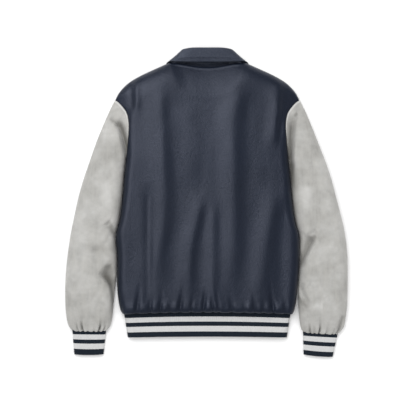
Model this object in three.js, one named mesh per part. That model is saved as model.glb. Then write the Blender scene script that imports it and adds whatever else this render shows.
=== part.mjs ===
// Varsity jacket laid out flat with its back up: leather body and collar, suede sleeves, rib-knit hem band
// and cuffs. Each cut piece is a wall of cloth, built as an outer surface and the same surface moved in by the
// cloth's thickness.
import * as THREE from "three";

// Sizes in millimetres. X runs across the jacket, Y from hem to collar, and Z up from the surface below it.
const leatherWall = 2.4;
const collarWall = 1.6;
const suedeWall = 2.2;
const knitWall = 3;
const seamGap = 0.4; // between pieces that are sewn together
const sleeveGap = 0.9; // between a sleeve and the side of the body that it lies against

const bodyLoft = 44; // height of the back at its middle
const seamHeight = 9; // height of the side, shoulder and underarm seams
const armholeLift = 20; // how far the back stands over the front at the armhole
const underarmY = 109.6;
const shoulderTip = { x: 239.5, y: 264.8 };

const neckHalf = 100;
const neckSideY = 362;
const backNeckY = 350.6;
const frontNeckY = 265;
const neckLoft = 17; // height of the back's neck edge at its middle

const hemSeamY = -282.8; // at centre back
const hemArch = 4.9; // how much lower the seam is at the sides
const hemBandDrop = 66; // depth of the rib-knit hem band
const hemHalfTop = 217;
const hemHalfBottom = 207;
const hemLoft = 21;
const hemEdgeHeight = 8;

const cuffLoft = 14;
const cuffEdgeHeight = 6;
const ribPitch = 5; // one rib and one furrow of the knit
const ribDepth = 0.8;

const placketHalf = 15; // each front reaches this far past the centre
const snapRadius = 7.5;
const snapHeight = 2.2;
const snapCount = 7;
const collarUnderlay = leatherWall + 0.7; // the fronts lie on the collar's leaf

const navy = 0x2b303c;
const paleGrey = 0xb9b7b2;
const ribNavy = 0x252c34;
const snapMetal = 0x8a8d92;

// Half width of the body from the hem seam up to the shoulder tip.
const bodySide = [
  { y: -287.7, half: 219.2 },
  { y: -275.2, half: 226.7 },
  { y: -254.4, half: 231.4 },
  { y: -223.2, half: 234.6 },
  { y: -181.6, half: 236.6 },
  { y: -134.8, half: 236.6 },
  { y: -98.4, half: 234.6 },
  { y: -62.0, half: 230.6 },
  { y: -25.6, half: 225.4 },
  { y: 16.0, half: 220.5 },
  { y: 57.6, half: 217.1 },
  { y: 109.6, half: 211.6 },
  { y: 161.6, half: 205.1 },
  { y: 200.6, half: 202.8 },
  { y: 226.6, half: 206.7 },
  { y: 239.6, half: 213.2 },
  { y: 252.6, half: 223.9 },
  { y: 260.4, half: 232.2 },
  { y: 264.8, half: 239.5 },
];

const shoulderLine = [
  { x: 100, y: 362 },
  { x: 141.7, y: 343.6 },
  { x: 174.7, y: 328.0 },
  { x: 201.2, y: 312.4 },
  { x: 218.9, y: 296.8 },
  { x: 231.4, y: 281.2 },
  { x: 239.5, y: 264.8 },
];

// How the back rolls down to its side edge: over what width, and how squarely.
const sideRoll = [
  { y: -287.7, width: 34, power: 2 },
  { y: 80, width: 36, power: 2 },
  { y: 150, width: 24, power: 2 },
  { y: 200, width: 20, power: 1.9 },
  { y: 232, width: 34, power: 1.35 },
  { y: 264.8, width: 60, power: 1.2 },
];

// The back's largest folds. rise is a ridge, or a trough if it is negative; left and right are how far it
// spreads on either side of its line, seen from the hem.
const backFolds = [
  { from: [-157, 306], bend: [-108, 90], to: [-147, -172], rise: 5.5, left: 26, right: 17 },
  { from: [-104, 285], bend: [-98, 20], to: [-113, -235], rise: -5.5, left: 16, right: 24 },
  { from: [-151, -28], bend: [-147, -130], to: [-160, -232], rise: -4.5, left: 15, right: 13 },
  { from: [76, 305], bend: [50, 60], to: [47, -170], rise: 6, left: 30, right: 10 },
  { from: [88, 288], bend: [76, 90], to: [76, -110], rise: -5.5, left: 10, right: 24 },
  { from: [143, 15], bend: [131, -130], to: [86, -262], rise: 5, left: 18, right: 22 },
  { from: [-18, 25], bend: [-42, -110], to: [-92, -252], rise: 4.5, left: 16, right: 20 },
  { from: [25, -30], bend: [23, -130], to: [26, -250], rise: -5, left: 15, right: 13 },
  { from: [-1, -140], bend: [-2, -200], to: [-2, -275], rise: 4.5, left: 10, right: 10 },
  { from: [155, 300], bend: [172, 190], to: [158, 70], rise: 4, left: 18, right: 16 },
  { from: [196, -40], bend: [184, -140], to: [170, -250], rise: -4, left: 20, right: 18 },
  { from: [-183, 306], bend: [-192, 265], to: [-198, 214], rise: -7.5, left: 14, right: 10 },
  { from: [187, 306], bend: [196, 265], to: [199, 214], rise: -7.5, left: 10, right: 14 },
  { from: [-60, 235], bend: [-40, 150], to: [-55, 40], rise: 2.5, left: 22, right: 22 },
];

// Puckers where the back is gathered into the hem band.
const hemPuckers = [
  { x: -194, depth: 7, width: 7, reach: 30 },
  { x: -177, depth: 5, width: 6, reach: 44 },
  { x: -146, depth: 4, width: 9, reach: 40 },
  { x: -117, depth: 6, width: 8, reach: 56 },
  { x: -72, depth: 6, width: 8, reach: 62 },
  { x: -38, depth: 7, width: 6, reach: 40 },
  { x: -17, depth: 6, width: 5, reach: 48 },
  { x: 12, depth: 7, width: 5, reach: 40 },
  { x: 34, depth: 6, width: 8, reach: 58 },
  { x: 62, depth: 4, width: 8, reach: 44 },
  { x: 84, depth: 7, width: 7, reach: 50 },
  { x: 117, depth: 4, width: 9, reach: 38 },
  { x: 146, depth: 5, width: 9, reach: 46 },
  { x: 169, depth: 7, width: 6, reach: 44 },
  { x: 196, depth: 5, width: 7, reach: 36 },
];

// Stations down each sleeve, from its armhole seam to its cuff seam. outX and outY are on the edge away from
// the body, inX and inY on the edge beside it. curve is how much of the armhole's bow is left, top the loft.
const sleeveStations = {
  left: [
    { outX: 240.3, outY: 264.8, inX: 212.4, inY: 109.6, curve: 1, top: 29 },
    { outX: 254.0, outY: 237.0, inX: 212.6, inY: 107.0, curve: 0.78, top: 33 },
    { outX: 270.9, outY: 199.3, inX: 213.0, inY: 103.1, curve: 0.52, top: 37 },
    { outX: 289.1, outY: 153.8, inX: 213.5, inY: 97.0, curve: 0.28, top: 40 },
    { outX: 306.0, outY: 105.7, inX: 215.2, inY: 84.0, curve: 0.1, top: 41 },
    { outX: 321.6, outY: 60.2, inX: 217.5, inY: 56.0, curve: 0, top: 41 },
    { outX: 334.6, outY: 14.7, inX: 220.5, inY: 17.3, curve: 0, top: 41 },
    { outX: 344.5, outY: -29.5, inX: 227.0, inY: -25.6, curve: 0, top: 40 },
    { outX: 351.5, outY: -63.0, inX: 238.0, inY: -60.7, curve: 0, top: 40 },
    { outX: 356.2, outY: -88.0, inX: 246.2, inY: -84.1, curve: 0, top: 39 },
    { outX: 360.1, outY: -114.0, inX: 239.4, inY: -111.4, curve: 0, top: 40 },
    { outX: 364.5, outY: -146.5, inX: 238.6, inY: -145.2, curve: 0, top: 40 },
    { outX: 368.2, outY: -186.8, inX: 242.3, inY: -186.8, curve: 0, top: 39 },
    { outX: 369.7, outY: -228.4, inX: 248.0, inY: -228.4, curve: 0, top: 37 },
    { outX: 369.2, outY: -267.4, inX: 249.6, inY: -268.7, curve: 0, top: 35 },
    { outX: 366.6, outY: -298.6, inX: 250.1, inY: -301.2, curve: 0, top: 31 },
    { outX: 361.4, outY: -319.4, inX: 253.0, inY: -322.0, curve: 0, top: 24 },
    { outX: 352.5, outY: -331.6, inX: 262.2, inY: -332.4, curve: 0, top: 15 },
  ],
  right: [
    { outX: 240.3, outY: 264.8, inX: 212.4, inY: 109.6, curve: 1, top: 29 },
    { outX: 254.3, outY: 237.0, inX: 212.6, inY: 107.0, curve: 0.78, top: 33 },
    { outX: 270.4, outY: 199.3, inX: 213.0, inY: 103.1, curve: 0.52, top: 37 },
    { outX: 288.6, outY: 153.8, inX: 213.5, inY: 97.0, curve: 0.28, top: 40 },
    { outX: 307.1, outY: 105.7, inX: 215.2, inY: 84.0, curve: 0.1, top: 41 },
    { outX: 322.4, outY: 60.2, inX: 217.5, inY: 56.0, curve: 0, top: 41 },
    { outX: 334.6, outY: 14.7, inX: 220.5, inY: 17.3, curve: 0, top: 41 },
    { outX: 346.1, outY: -29.5, inX: 225.0, inY: -25.6, curve: 0, top: 40 },
    { outX: 354.9, outY: -65.9, inX: 230.0, inY: -62.0, curve: 0, top: 40 },
    { outX: 359.1, outY: -90.6, inX: 234.5, inY: -90.6, curve: 0, top: 39 },
    { outX: 362.2, outY: -114.0, inX: 239.2, inY: -115.3, curve: 0, top: 39 },
    { outX: 364.8, outY: -146.5, inX: 242.5, inY: -150.4, curve: 0, top: 40 },
    { outX: 365.0, outY: -186.8, inX: 238.0, inY: -186.8, curve: 0, top: 40 },
    { outX: 364.8, outY: -228.4, inX: 236.0, inY: -228.4, curve: 0, top: 38 },
    { outX: 363.5, outY: -267.4, inX: 236.4, inY: -267.4, curve: 0, top: 35 },
    { outX: 359.8, outY: -300.0, inX: 238.7, inY: -300.0, curve: 0, top: 31 },
    { outX: 354.6, outY: -325.0, inX: 242.3, inY: -323.3, curve: 0, top: 24 },
    { outX: 341.0, outY: -340.6, inX: 248.0, inY: -335.6, curve: 0, top: 15 },
  ],
};

// The sleeves' largest folds, with X counted outwards from the centre of the body.
const sleeveFolds = {
  left: [
    { from: [250, 209], bend: [230, 208], to: [214, 112], rise: -13, left: 6, right: 16 },
    { from: [262, -68], bend: [252, -78], to: [238, -92], rise: -12, left: 9, right: 14 },
    { from: [284, -190], bend: [268, -200], to: [244, -206], rise: -13, left: 18, right: 9 },
    { from: [330, 60], bend: [300, -20], to: [280, -60], rise: 4, left: 22, right: 20 },
    { from: [300, -110], bend: [320, -160], to: [316, -240], rise: -4, left: 24, right: 22 },
    { from: [342, -150], bend: [346, -210], to: [338, -280], rise: 3.5, left: 16, right: 20 },
  ],
  right: [
    { from: [229, 232], bend: [230, 150], to: [219, 62], rise: -11, left: 14, right: 8 },
    { from: [274, -84], bend: [258, -116], to: [238, -158], rise: -8.5, left: 20, right: 16 },
    { from: [286, -92], bend: [271, -126], to: [250, -172], rise: 3.5, left: 11, right: 18 },
    { from: [236, -262], bend: [252, -256], to: [270, -240], rise: -8, left: 12, right: 8 },
    { from: [322, 40], bend: [304, -30], to: [290, -80], rise: 4, left: 20, right: 22 },
    { from: [336, -120], bend: [318, -180], to: [296, -260], rise: -4, left: 20, right: 24 },
  ],
};

// Gathers round each sleeve's end, as a share of its width from the outer edge.
const cuffPuckers = [
  { share: 0.14, depth: 4 },
  { share: 0.29, depth: 6 },
  { share: 0.42, depth: 4 },
  { share: 0.55, depth: 6 },
  { share: 0.71, depth: 7 },
  { share: 0.86, depth: 5 },
];
const cuffPuckerWidth = 0.035;
const cuffPuckerReach = 26;

// Where each cuff's free end lies. It starts at the sleeve's last station.
const cuffEnds = {
  left: { outX: 346.3, outY: -395.9, inX: 270.1, inY: -395.9 },
  right: { outX: 326.4, outY: -402.4, inX: 250.6, inY: -396.4 },
};
const cuffEndBow = 1.6; // how far the free end curves out at its middle

// The collar from centre back to its front end: seam to the neck, fold line and leaf edge. lean turns the
// fold from facing up (90) on the back to facing down (-90) on the front.
const collarStations = [
  { at: 0, lean: 90, radius: 5, seam: [0, 346, 11.6], fold: [0, 396, 26], edge: [0, 363.5, 28.5] },
  { at: 0.22, lean: 90, radius: 5, seam: [45, 350.5, 11.5], fold: [36, 396.2, 25.5], edge: [48, 364, 28] },
  { at: 0.4, lean: 78, radius: 4.6, seam: [78, 356.5, 11], fold: [56.5, 395, 22.5], edge: [79, 365, 26] },
  { at: 0.47, lean: 48, radius: 5, seam: [88.5, 359, 10.4], fold: [61.5, 393.4, 19.2], edge: [90.5, 366, 22.5] },
  { at: 0.53, lean: 5, radius: 5, seam: [92.5, 359.5, 9.6], fold: [65, 390.4, 13.8], edge: [98.5, 366.5, 15.5] },
  { at: 0.59, lean: -38, radius: 4.6, seam: [93.5, 357.5, 9.2], fold: [65.4, 386.6, 8.6], edge: [104, 364.3, 7] },
  { at: 0.65, lean: -72, radius: 3.8, seam: [91.5, 349, 9.2], fold: [62.8, 383.5, 5.8], edge: [107.8, 359, 0.8] },
  { at: 0.71, lean: -87, radius: 3.3, seam: [88, 334, 9.2], fold: [60, 373, 3.8], edge: [109.3, 343, 0] },
  { at: 0.79, lean: -90, radius: 3.3, seam: [80, 313, 8.9], fold: [53.5, 348, 3.3], edge: [108, 309, 0] },
  { at: 0.89, lean: -90, radius: 3.3, seam: [52, 279, 8.9], fold: [37, 315, 3.3], edge: [93, 263, 0] },
  { at: 1, lean: -90, radius: 3.3, seam: [18, 263, 11.3], fold: [16, 289, 3.3], edge: [62, 232, 0] },
];
const collarTurn = { from: 0.36, to: 0.74, columns: 13 }; // where it turns from the back to the front
const collarSide = new THREE.Vector3(0.77, 0.64, 0); // which way the fold faces where it turns to the front

const clamp = THREE.MathUtils.clamp;
const lerp = THREE.MathUtils.lerp;
const smooth = THREE.MathUtils.smoothstep;
const bell = (distance, spread) => Math.exp(-((distance / spread) ** 2));

// Reads a table between its rows, on a smooth curve through them.
function readTable(rows, key, column, value) {
  const last = rows.length - 1;
  let i = 0;
  while (i < last - 1 && value > rows[i + 1][key]) i++;
  const slope = (row) => {
    const before = rows[Math.max(row - 1, 0)];
    const after = rows[Math.min(row + 1, last)];
    return (after[column] - before[column]) / (after[key] - before[key]);
  };
  const span = rows[i + 1][key] - rows[i][key];
  const t = clamp((value - rows[i][key]) / span, 0, 1);
  const toNext = 3 * t ** 2 - 2 * t ** 3;
  const leaving = (t ** 3 - 2 * t ** 2 + t) * span * slope(i);
  const arriving = (t ** 3 - t ** 2) * span * slope(i + 1);
  return lerp(rows[i][column], rows[i + 1][column], toNext) + leaving + arriving;
}

// A roll from 0 at the edge to 1 at the given width: a quarter circle at power 2, almost straight at 1.
function roll(distance, width, power = 2) {
  const left = 1 - clamp(distance / width, 0, 1);
  return (1 - left ** power) ** (1 / power);
}

// The height that a list of folds adds at a point, each fading out at its two ends.
function foldHeight(folds, x, y) {
  let height = 0;
  for (const fold of folds) {
    const line = new THREE.QuadraticBezierCurve(
      new THREE.Vector2(...fold.from),
      new THREE.Vector2(...fold.bend),
      new THREE.Vector2(...fold.to),
    ).getPoints(12);
    let best = { distance: Infinity };
    for (let i = 0; i < line.length - 1; i++) {
      const along = line[i + 1].clone().sub(line[i]);
      const offset = new THREE.Vector2(x, y).sub(line[i]);
      const share = clamp(offset.dot(along) / along.lengthSq(), 0, 1);
      const away = offset.sub(along.clone().multiplyScalar(share));
      const distance = away.length();
      if (distance < best.distance) {
        best = { distance, share: (i + share) / (line.length - 1), side: along.cross(away) };
      }
    }
    const upwards = fold.to[1] > fold.from[1];
    const isLeft = best.side > 0 === upwards;
    const fade = Math.sin(Math.PI * clamp(best.share, 0.02, 0.98)) ** 0.6;
    height += fold.rise * fade * bell(best.distance, isLeft ? fold.left : fold.right);
  }
  return height;
}

// Parameters from 0 to 1, closer together near an end where the cloth rolls over.
function steps(middle, start = { count: 0, share: 0 }, end = { count: 0, share: 0 }) {
  const list = [];
  const eased = (i, part) => part.share * (1 - Math.cos((Math.PI / 2) * (i / part.count)));
  for (let i = 0; i < start.count; i++) list.push(eased(i, start));
  for (let i = 0; i <= middle; i++) list.push(lerp(start.share, 1 - end.share, i / middle));
  for (let i = end.count - 1; i >= 0; i--) list.push(1 - eased(i, end));
  return list;
}

// Closes a wall between an outer surface and its inner one. surface(u, v) gives the outer point; ring says
// that u runs all round; between the heights in levelRims the wall is level at its rims, so that two rims can
// meet; plain gives another surface for the inner side, where the outer one is ribbed.
function wall(surface, us, vs, thickness, options = {}) {
  const { ring = false, flip = false, levelRims = [0, 0], plain = surface } = options;
  const columns = us.length;
  const rows = vs.length;
  const outer = vs.flatMap((v) => us.map((u) => surface(u, v)));
  const base = plain === surface ? outer : vs.flatMap((v) => us.map((u) => plain(u, v)));
  const cell = (i, j) => {
    const column = ring ? (i + columns) % columns : clamp(i, 0, columns - 1);
    return clamp(j, 0, rows - 1) * columns + column;
  };
  const sharp = base.map((point, n) => {
    const i = n % columns;
    const j = (n - i) / columns;
    const acrossU = base[cell(i + 1, j)].clone().sub(base[cell(i - 1, j)]);
    const acrossV = base[cell(i, j + 1)].clone().sub(base[cell(i, j - 1)]);
    return acrossU.cross(acrossV).normalize().multiplyScalar(flip ? -1 : 1);
  });
  const inner = base.map((point, n) => {
    const i = n % columns;
    const j = (n - i) / columns;
    const normal = sharp[n].clone().multiplyScalar(2);
    for (const near of [cell(i + 1, j), cell(i - 1, j), cell(i, j + 1), cell(i, j - 1)]) {
      normal.add(sharp[near]);
    }
    normal.normalize();
    const onRim = j === 0 || j === rows - 1 || (!ring && (i === 0 || i === columns - 1));
    if (onRim && point.z > levelRims[0] && point.z < levelRims[1]) normal.setZ(0).normalize();
    return point.clone().addScaledVector(normal, -thickness);
  });
  const positions = [...outer, ...inner].flatMap((p) => p.toArray());
  const inside = columns * rows;
  const index = [];
  const quad = (a, b, c, d) => index.push(a, b, c, a, c, d);
  const spans = ring ? columns : columns - 1;
  for (let j = 0; j < rows - 1; j++) {
    for (let i = 0; i < spans; i++) {
      const a = j * columns + i;
      const b = j * columns + ((i + 1) % columns);
      const c = b + columns;
      const d = a + columns;
      quad(a, b, c, d);
      quad(inside + d, inside + c, inside + b, inside + a);
    }
  }
  for (let i = 0; i < spans; i++) {
    const next = (i + 1) % columns;
    const top = (rows - 1) * columns;
    quad(i, inside + i, inside + next, next);
    quad(top + next, inside + top + next, inside + top + i, top + i);
  }
  if (!ring) {
    for (let j = 0; j < rows - 1; j++) {
      const a = j * columns;
      const b = a + columns;
      const c = a + columns - 1;
      const d = c + columns;
      quad(b, inside + b, inside + a, a);
      quad(c, inside + c, inside + d, d);
    }
  }
  if (flip) index.reverse();
  const geometry = new THREE.BufferGeometry();
  geometry.setAttribute("position", new THREE.Float32BufferAttribute(positions, 3));
  geometry.setIndex(index);
  geometry.computeVertexNormals();
  return geometry;
}

const jacket = new THREE.Group();

function addPiece(name, geometry, color, roughness, metalness = 0) {
  const mesh = new THREE.Mesh(geometry, new THREE.MeshStandardMaterial({ color, roughness, metalness }));
  mesh.name = name;
  jacket.add(mesh);
}

const hemLineY = (across) => hemSeamY - hemArch * across ** 2;
const bodyHalf = (y) => readTable(bodySide, "y", "half", y);
const shoulderY = (x) => readTable(shoulderLine, "x", "y", Math.abs(x));

function backTopY(x) {
  if (Math.abs(x) > neckHalf) return shoulderY(x);
  return backNeckY + (neckSideY - backNeckY) * 0.5 * (1 - Math.cos((Math.PI * x) / neckHalf));
}

function frontTopY(x) {
  if (Math.abs(x) > neckHalf) return shoulderY(x);
  return frontNeckY + (neckSideY - frontNeckY) * (Math.abs(x) / neckHalf) ** 2.4;
}

// Where a panel's point lies: up is its share of the way from the hem to the top, reach(half) its distance
// from the centre where the body is that wide. The distances are to the panel's edges.
function bodyPlan(reach, up, topY) {
  const sideY = lerp(hemLineY(1), shoulderTip.y, up);
  const half = bodyHalf(sideY);
  const x = reach(half);
  const topX = Math.abs(reach(shoulderTip.x));
  const top = topY(topX);
  const hem = hemLineY(x / half);
  const y = lerp(hem, top, up);
  return { x, y, sideY, topX, fromSide: half - Math.abs(x), fromTop: top - y, fromHem: y - hem };
}

const armholeShare = (y) => clamp((y - underarmY) / (shoulderTip.y - underarmY), 0, 1);
const armholeSwell = (y) => Math.sin(Math.PI * armholeShare(y)) ** 0.6;

function hemTopHeight(x, half) {
  return hemEdgeHeight + (hemLoft - hemEdgeHeight) * roll(half - Math.abs(x), 16);
}

function puckerHeight(x, fromHem) {
  let height = 0;
  for (const pucker of hemPuckers) {
    const along = fromHem / (0.3 * pucker.reach);
    height -= pucker.depth * along * Math.exp(1 - along) * bell(x - pucker.x, pucker.width);
  }
  return height;
}

function backSurface(u, v) {
  const across = 2 * u - 1;
  const plan = bodyPlan((half) => across * half, v, backTopY);
  const read = (column) => readTable(sideRoll, "y", column, plan.sideY);
  const neckShare = smooth(neckHalf + 12 - plan.topX, 0, 30);
  const sideZ = seamHeight + seamGap / 2 + armholeLift * armholeSwell(plan.sideY);
  const topZ = lerp(seamHeight + seamGap / 2, neckLoft, neckShare);
  const hemZ = hemTopHeight(across * hemHalfTop, hemHalfTop + 1);
  const weights = [plan.fromSide, plan.fromTop, plan.fromHem].map((d) => 1 / (d + 0.5) ** 2);
  const total = weights[0] + weights[1] + weights[2];
  const edgeZ = (weights[0] * sideZ + weights[1] * topZ + weights[2] * hemZ) / total;
  const edges = [
    { away: plan.fromSide / read("width"), power: read("power") },
    { away: plan.fromTop / lerp(46, 80, neckShare), power: lerp(1.8, 1.25, neckShare) },
    { away: plan.fromHem / 30, power: 2 },
  ].map((edge) => ({ ...edge, weight: 1 / (edge.away + 0.001) ** 3 }));
  const weight = edges.reduce((sum, edge) => sum + edge.weight, 0);
  const power = edges.reduce((sum, edge) => sum + edge.weight * edge.power, 0) / weight;
  const rise = roll(weight ** (-1 / 3), 1, power);
  const crown = bodyLoft * (0.74 + 0.26 * (1 - across ** 2)) * (1 - 0.16 * smooth(v, 0.6, 1));
  const folds = foldHeight(backFolds, plan.x, plan.y) + puckerHeight(plan.x, plan.fromHem);
  return new THREE.Vector3(plan.x, plan.y, lerp(edgeZ, crown, rise) + folds * rise);
}

// How high the fronts' undersides are lifted by the snaps, and by the collar's leaf.
const snapLift = (x) => (snapHeight + seamGap) * (1 - smooth(Math.abs(x), 8, 27));
const leafLift = (x, y) => collarUnderlay * (1 - smooth(Math.hypot(Math.abs(x) - 20, y - 330), 145, 195));

// Along the placket the fronts are divided at set distances from the centre, so that the two lie parallel.
const placketColumns = [-placketHalf, -8, 8, placketHalf, 27, 42];
const placketShare = 0.25; // of the parameter across the front
const placketSteps = placketColumns.map((x, i, all) => (placketShare * i) / (all.length - 1));
const shoulderColumns = [62, 77, 89, neckHalf, 126, 155, 182, 206, 224, 232.5, 237.2, shoulderTip.x];

function placketReach(u, half) {
  const last = placketColumns.length - 1;
  if (u >= placketShare) return lerp(placketColumns[last], half, (u - placketShare) / (1 - placketShare));
  const place = (u / placketShare) * last;
  const i = Math.floor(place);
  return lerp(placketColumns[i], placketColumns[i + 1], place - i);
}

function frontSurface(u, v, underlap) {
  const plan = bodyPlan((half) => placketReach(u, half), v, frontTopY);
  const curl = (distance, height) => height * (1 - roll(distance, 1.4 * seamHeight));
  const edge = seamHeight - seamGap / 2;
  const neckFade = smooth(plan.topX, neckHalf - 42, neckHalf);
  const sideZ = curl(plan.fromSide, edge * (1 - armholeSwell(plan.sideY)));
  const topZ = curl(plan.fromTop, edge * neckFade);
  const under = underlap * (leatherWall + seamGap) * (1 - smooth(plan.x, placketHalf, 42));
  const lift = Math.max(snapLift(plan.x), leafLift(plan.x, plan.y)) + under;
  return new THREE.Vector3(plan.x, plan.y, Math.max(sideZ, topZ, lift));
}

// The closed ring of a sleeve: u runs from the outer edge over the top to the inner edge and back below.
const overTop = 0.62; // share of the ring's parameter that is on top

function sleeveSurface(side, u, v) {
  const rows = sleeveStations[side].map((row, i, all) => ({ ...row, at: i / (all.length - 1) }));
  const read = (column) => readTable(rows, "at", column, v);
  const onTop = u < overTop;
  const share = onTop ? u / overTop : 1 - (u - overTop) / (1 - overTop);
  const out = new THREE.Vector2(read("outX"), read("outY"));
  const inner = new THREE.Vector2(read("inX"), read("inY"));
  inner.x = Math.max(inner.x, bodyHalf(inner.y) + sleeveGap);
  const first = rows[0];
  const chord = inner.clone().sub(out);
  const firstChord = new THREE.Vector2(first.inX - first.outX, first.inY - first.outY);
  const seamY = lerp(first.outY, first.inY, share);
  const bowX = bodyHalf(seamY) + sleeveGap - lerp(first.outX, first.inX, share);
  const turn = chord.angle() - firstChord.angle();
  const bow = new THREE.Vector2(bowX * read("curve"), 0).rotateAround(new THREE.Vector2(), turn);
  const place = out.clone().addScaledVector(chord, share).add(bow);
  const wide = chord.length();
  const fromEdge = wide * Math.min(share, 1 - share);
  const start = 1 - smooth(v, 0, 0.16);
  const seamTop = seamHeight + armholeLift * armholeSwell(seamY);
  const freeTop = seamHeight + (read("top") - seamHeight) * roll(fromEdge, 30);
  const seamBottom = seamHeight * (1 - armholeSwell(seamY));
  const freeBottom = seamHeight * (1 - roll(fromEdge, 1.2 * seamHeight));
  if (!onTop) return new THREE.Vector3(place.x, place.y, lerp(freeBottom, seamBottom, start));
  const rise = roll(fromEdge, 26);
  const folds = foldHeight(sleeveFolds[side], place.x, place.y) * rise * (1 - 0.8 * start);
  const endY = lerp(rows.at(-1).outY, rows.at(-1).inY, share);
  const fromEnd = Math.abs(place.y - endY) / (0.3 * cuffPuckerReach);
  let gathers = 0;
  for (const pucker of cuffPuckers) gathers -= pucker.depth * bell(share - pucker.share, cuffPuckerWidth);
  gathers *= fromEnd * Math.exp(1 - fromEnd) * rise;
  return new THREE.Vector3(place.x, place.y, lerp(freeTop, seamTop, start) + folds + gathers);
}

// Height of the knit's ribs at a distance along the band.
const ribHeight = (distance) => 0.5 * ribDepth * (Math.cos((2 * Math.PI * distance) / ribPitch) - 1);

function cuffSeam(side) {
  const sleeveEnd = sleeveStations[side].at(-1);
  return {
    out: new THREE.Vector2(sleeveEnd.outX - 1, sleeveEnd.outY - seamGap),
    inner: new THREE.Vector2(sleeveEnd.inX + 1, sleeveEnd.inY - seamGap),
  };
}

function cuffRibs(side) {
  const seam = cuffSeam(side);
  return Math.round(seam.out.distanceTo(seam.inner) / ribPitch);
}

function cuffSurface(side, u, v, ribbed) {
  const onTop = u < overTop;
  const share = onTop ? u / overTop : 1 - (u - overTop) / (1 - overTop);
  const seam = cuffSeam(side);
  const end = cuffEnds[side];
  const out = seam.out.clone().lerp(new THREE.Vector2(end.outX, end.outY), v);
  const inner = seam.inner.clone().lerp(new THREE.Vector2(end.inX, end.inY), v);
  const place = out.clone().lerp(inner, share);
  place.y -= cuffEndBow * v * 4 * share * (1 - share);
  const wide = out.distanceTo(inner);
  const fromEdge = wide * Math.min(share, 1 - share);
  if (!onTop) return new THREE.Vector3(place.x, place.y, cuffEdgeHeight * (1 - roll(fromEdge, 9)));
  const rib = ribbed ? ribHeight(share * cuffRibs(side) * ribPitch) : 0;
  const z = cuffEdgeHeight + (cuffLoft - cuffEdgeHeight) * roll(fromEdge, 15) + rib * roll(fromEdge, 6);
  return new THREE.Vector3(place.x, place.y, z);
}

// The hem band: u runs from its outer front end, round one side, over the top and round to its inner end.
const hemUnder = 0.18; // share of the parameter on each underside

function hemSurface(u, v, ribbed) {
  const half = lerp(hemHalfTop, hemHalfBottom, v);
  const seamY = (x) => hemLineY(x / hemHalfTop) - seamGap - v * (hemBandDrop - 2.2 * (x / hemHalfTop) ** 2);
  if (u >= hemUnder && u <= 1 - hemUnder) {
    const share = (u - hemUnder) / (1 - 2 * hemUnder);
    const x = half * (2 * share - 1);
    const ribCount = Math.round((2 * hemHalfTop) / ribPitch);
    const rib = ribbed ? ribHeight(share * ribCount * ribPitch) * roll(half - Math.abs(x), 6) : 0;
    return new THREE.Vector3(x, seamY(x), hemTopHeight(x, half) + rib);
  }
  const first = u < hemUnder;
  const reach = placketReach(first ? u / hemUnder : (1 - u) / hemUnder, half);
  const inset = half - Math.abs(reach);
  const under = first ? 0 : (knitWall + seamGap) * (1 - smooth(reach, placketHalf, 42));
  const z = Math.max(hemEdgeHeight * (1 - roll(inset, 9)), snapLift(reach) + under);
  const x = first ? -reach : reach;
  return new THREE.Vector3(x, seamY(x), z);
}

// The collar's side that shows: up the inside of the stand, over the fold and down the leaf.
const standShare = 0.4;
const leafShare = 0.6;

function collarSurface(u, v) {
  const at = Math.abs(2 * u - 1);
  const mirror = u < 0.5 ? -1 : 1;
  const rows = collarStations.map((row) => ({
    at: row.at,
    radius: row.radius,
    lean: row.lean,
    ...Object.fromEntries(["seam", "fold", "edge"].flatMap((k) => row[k].map((n, i) => [k + i, n]))),
  }));
  const read = (column) => readTable(rows, "at", column, at);
  const point = (name) => new THREE.Vector3(read(name + 0), read(name + 1), read(name + 2));
  const lean = THREE.MathUtils.degToRad(read("lean"));
  const seam = point("seam");
  const fold = point("fold");
  const edge = point("edge");
  const outward = collarSide.clone().multiplyScalar(Math.cos(lean));
  outward.z = Math.sin(lean);
  const onward = fold.clone().sub(seam);
  onward.addScaledVector(outward, -onward.dot(outward)).normalize();
  const radius = read("radius");
  const stand = fold.clone().addScaledVector(outward, -radius);
  const leaf = fold.clone().addScaledVector(outward, radius);
  let place;
  if (v < standShare) {
    place = seam.lerp(stand, v / standShare);
  } else if (v > leafShare) {
    place = leaf.lerp(edge, (v - leafShare) / (1 - leafShare));
  } else {
    const turn = Math.PI * ((v - standShare) / (leafShare - standShare) - 0.5);
    outward.multiplyScalar(radius * Math.sin(turn));
    place = fold.add(outward).addScaledVector(onward, radius * Math.cos(turn));
  }
  return place.set(mirror * place.x, place.y, Math.max(place.z, 0));
}

function snapGeometry() {
  const profile = [
    [0, 0],
    [snapRadius - 1.2, 0],
    [snapRadius, 0.9],
    [snapRadius, snapHeight - 0.6],
    [snapRadius - 1, snapHeight],
    [0, snapHeight],
  ].map(([x, y]) => new THREE.Vector2(x, y));
  return new THREE.LatheGeometry(profile, 16).rotateX(Math.PI / 2);
}

// Down the armhole the back's rows and the sleeve's columns lie at the same heights.
const armholeSteps = steps(9, { count: 2, share: 0.12 }, { count: 2, share: 0.1 });

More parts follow.
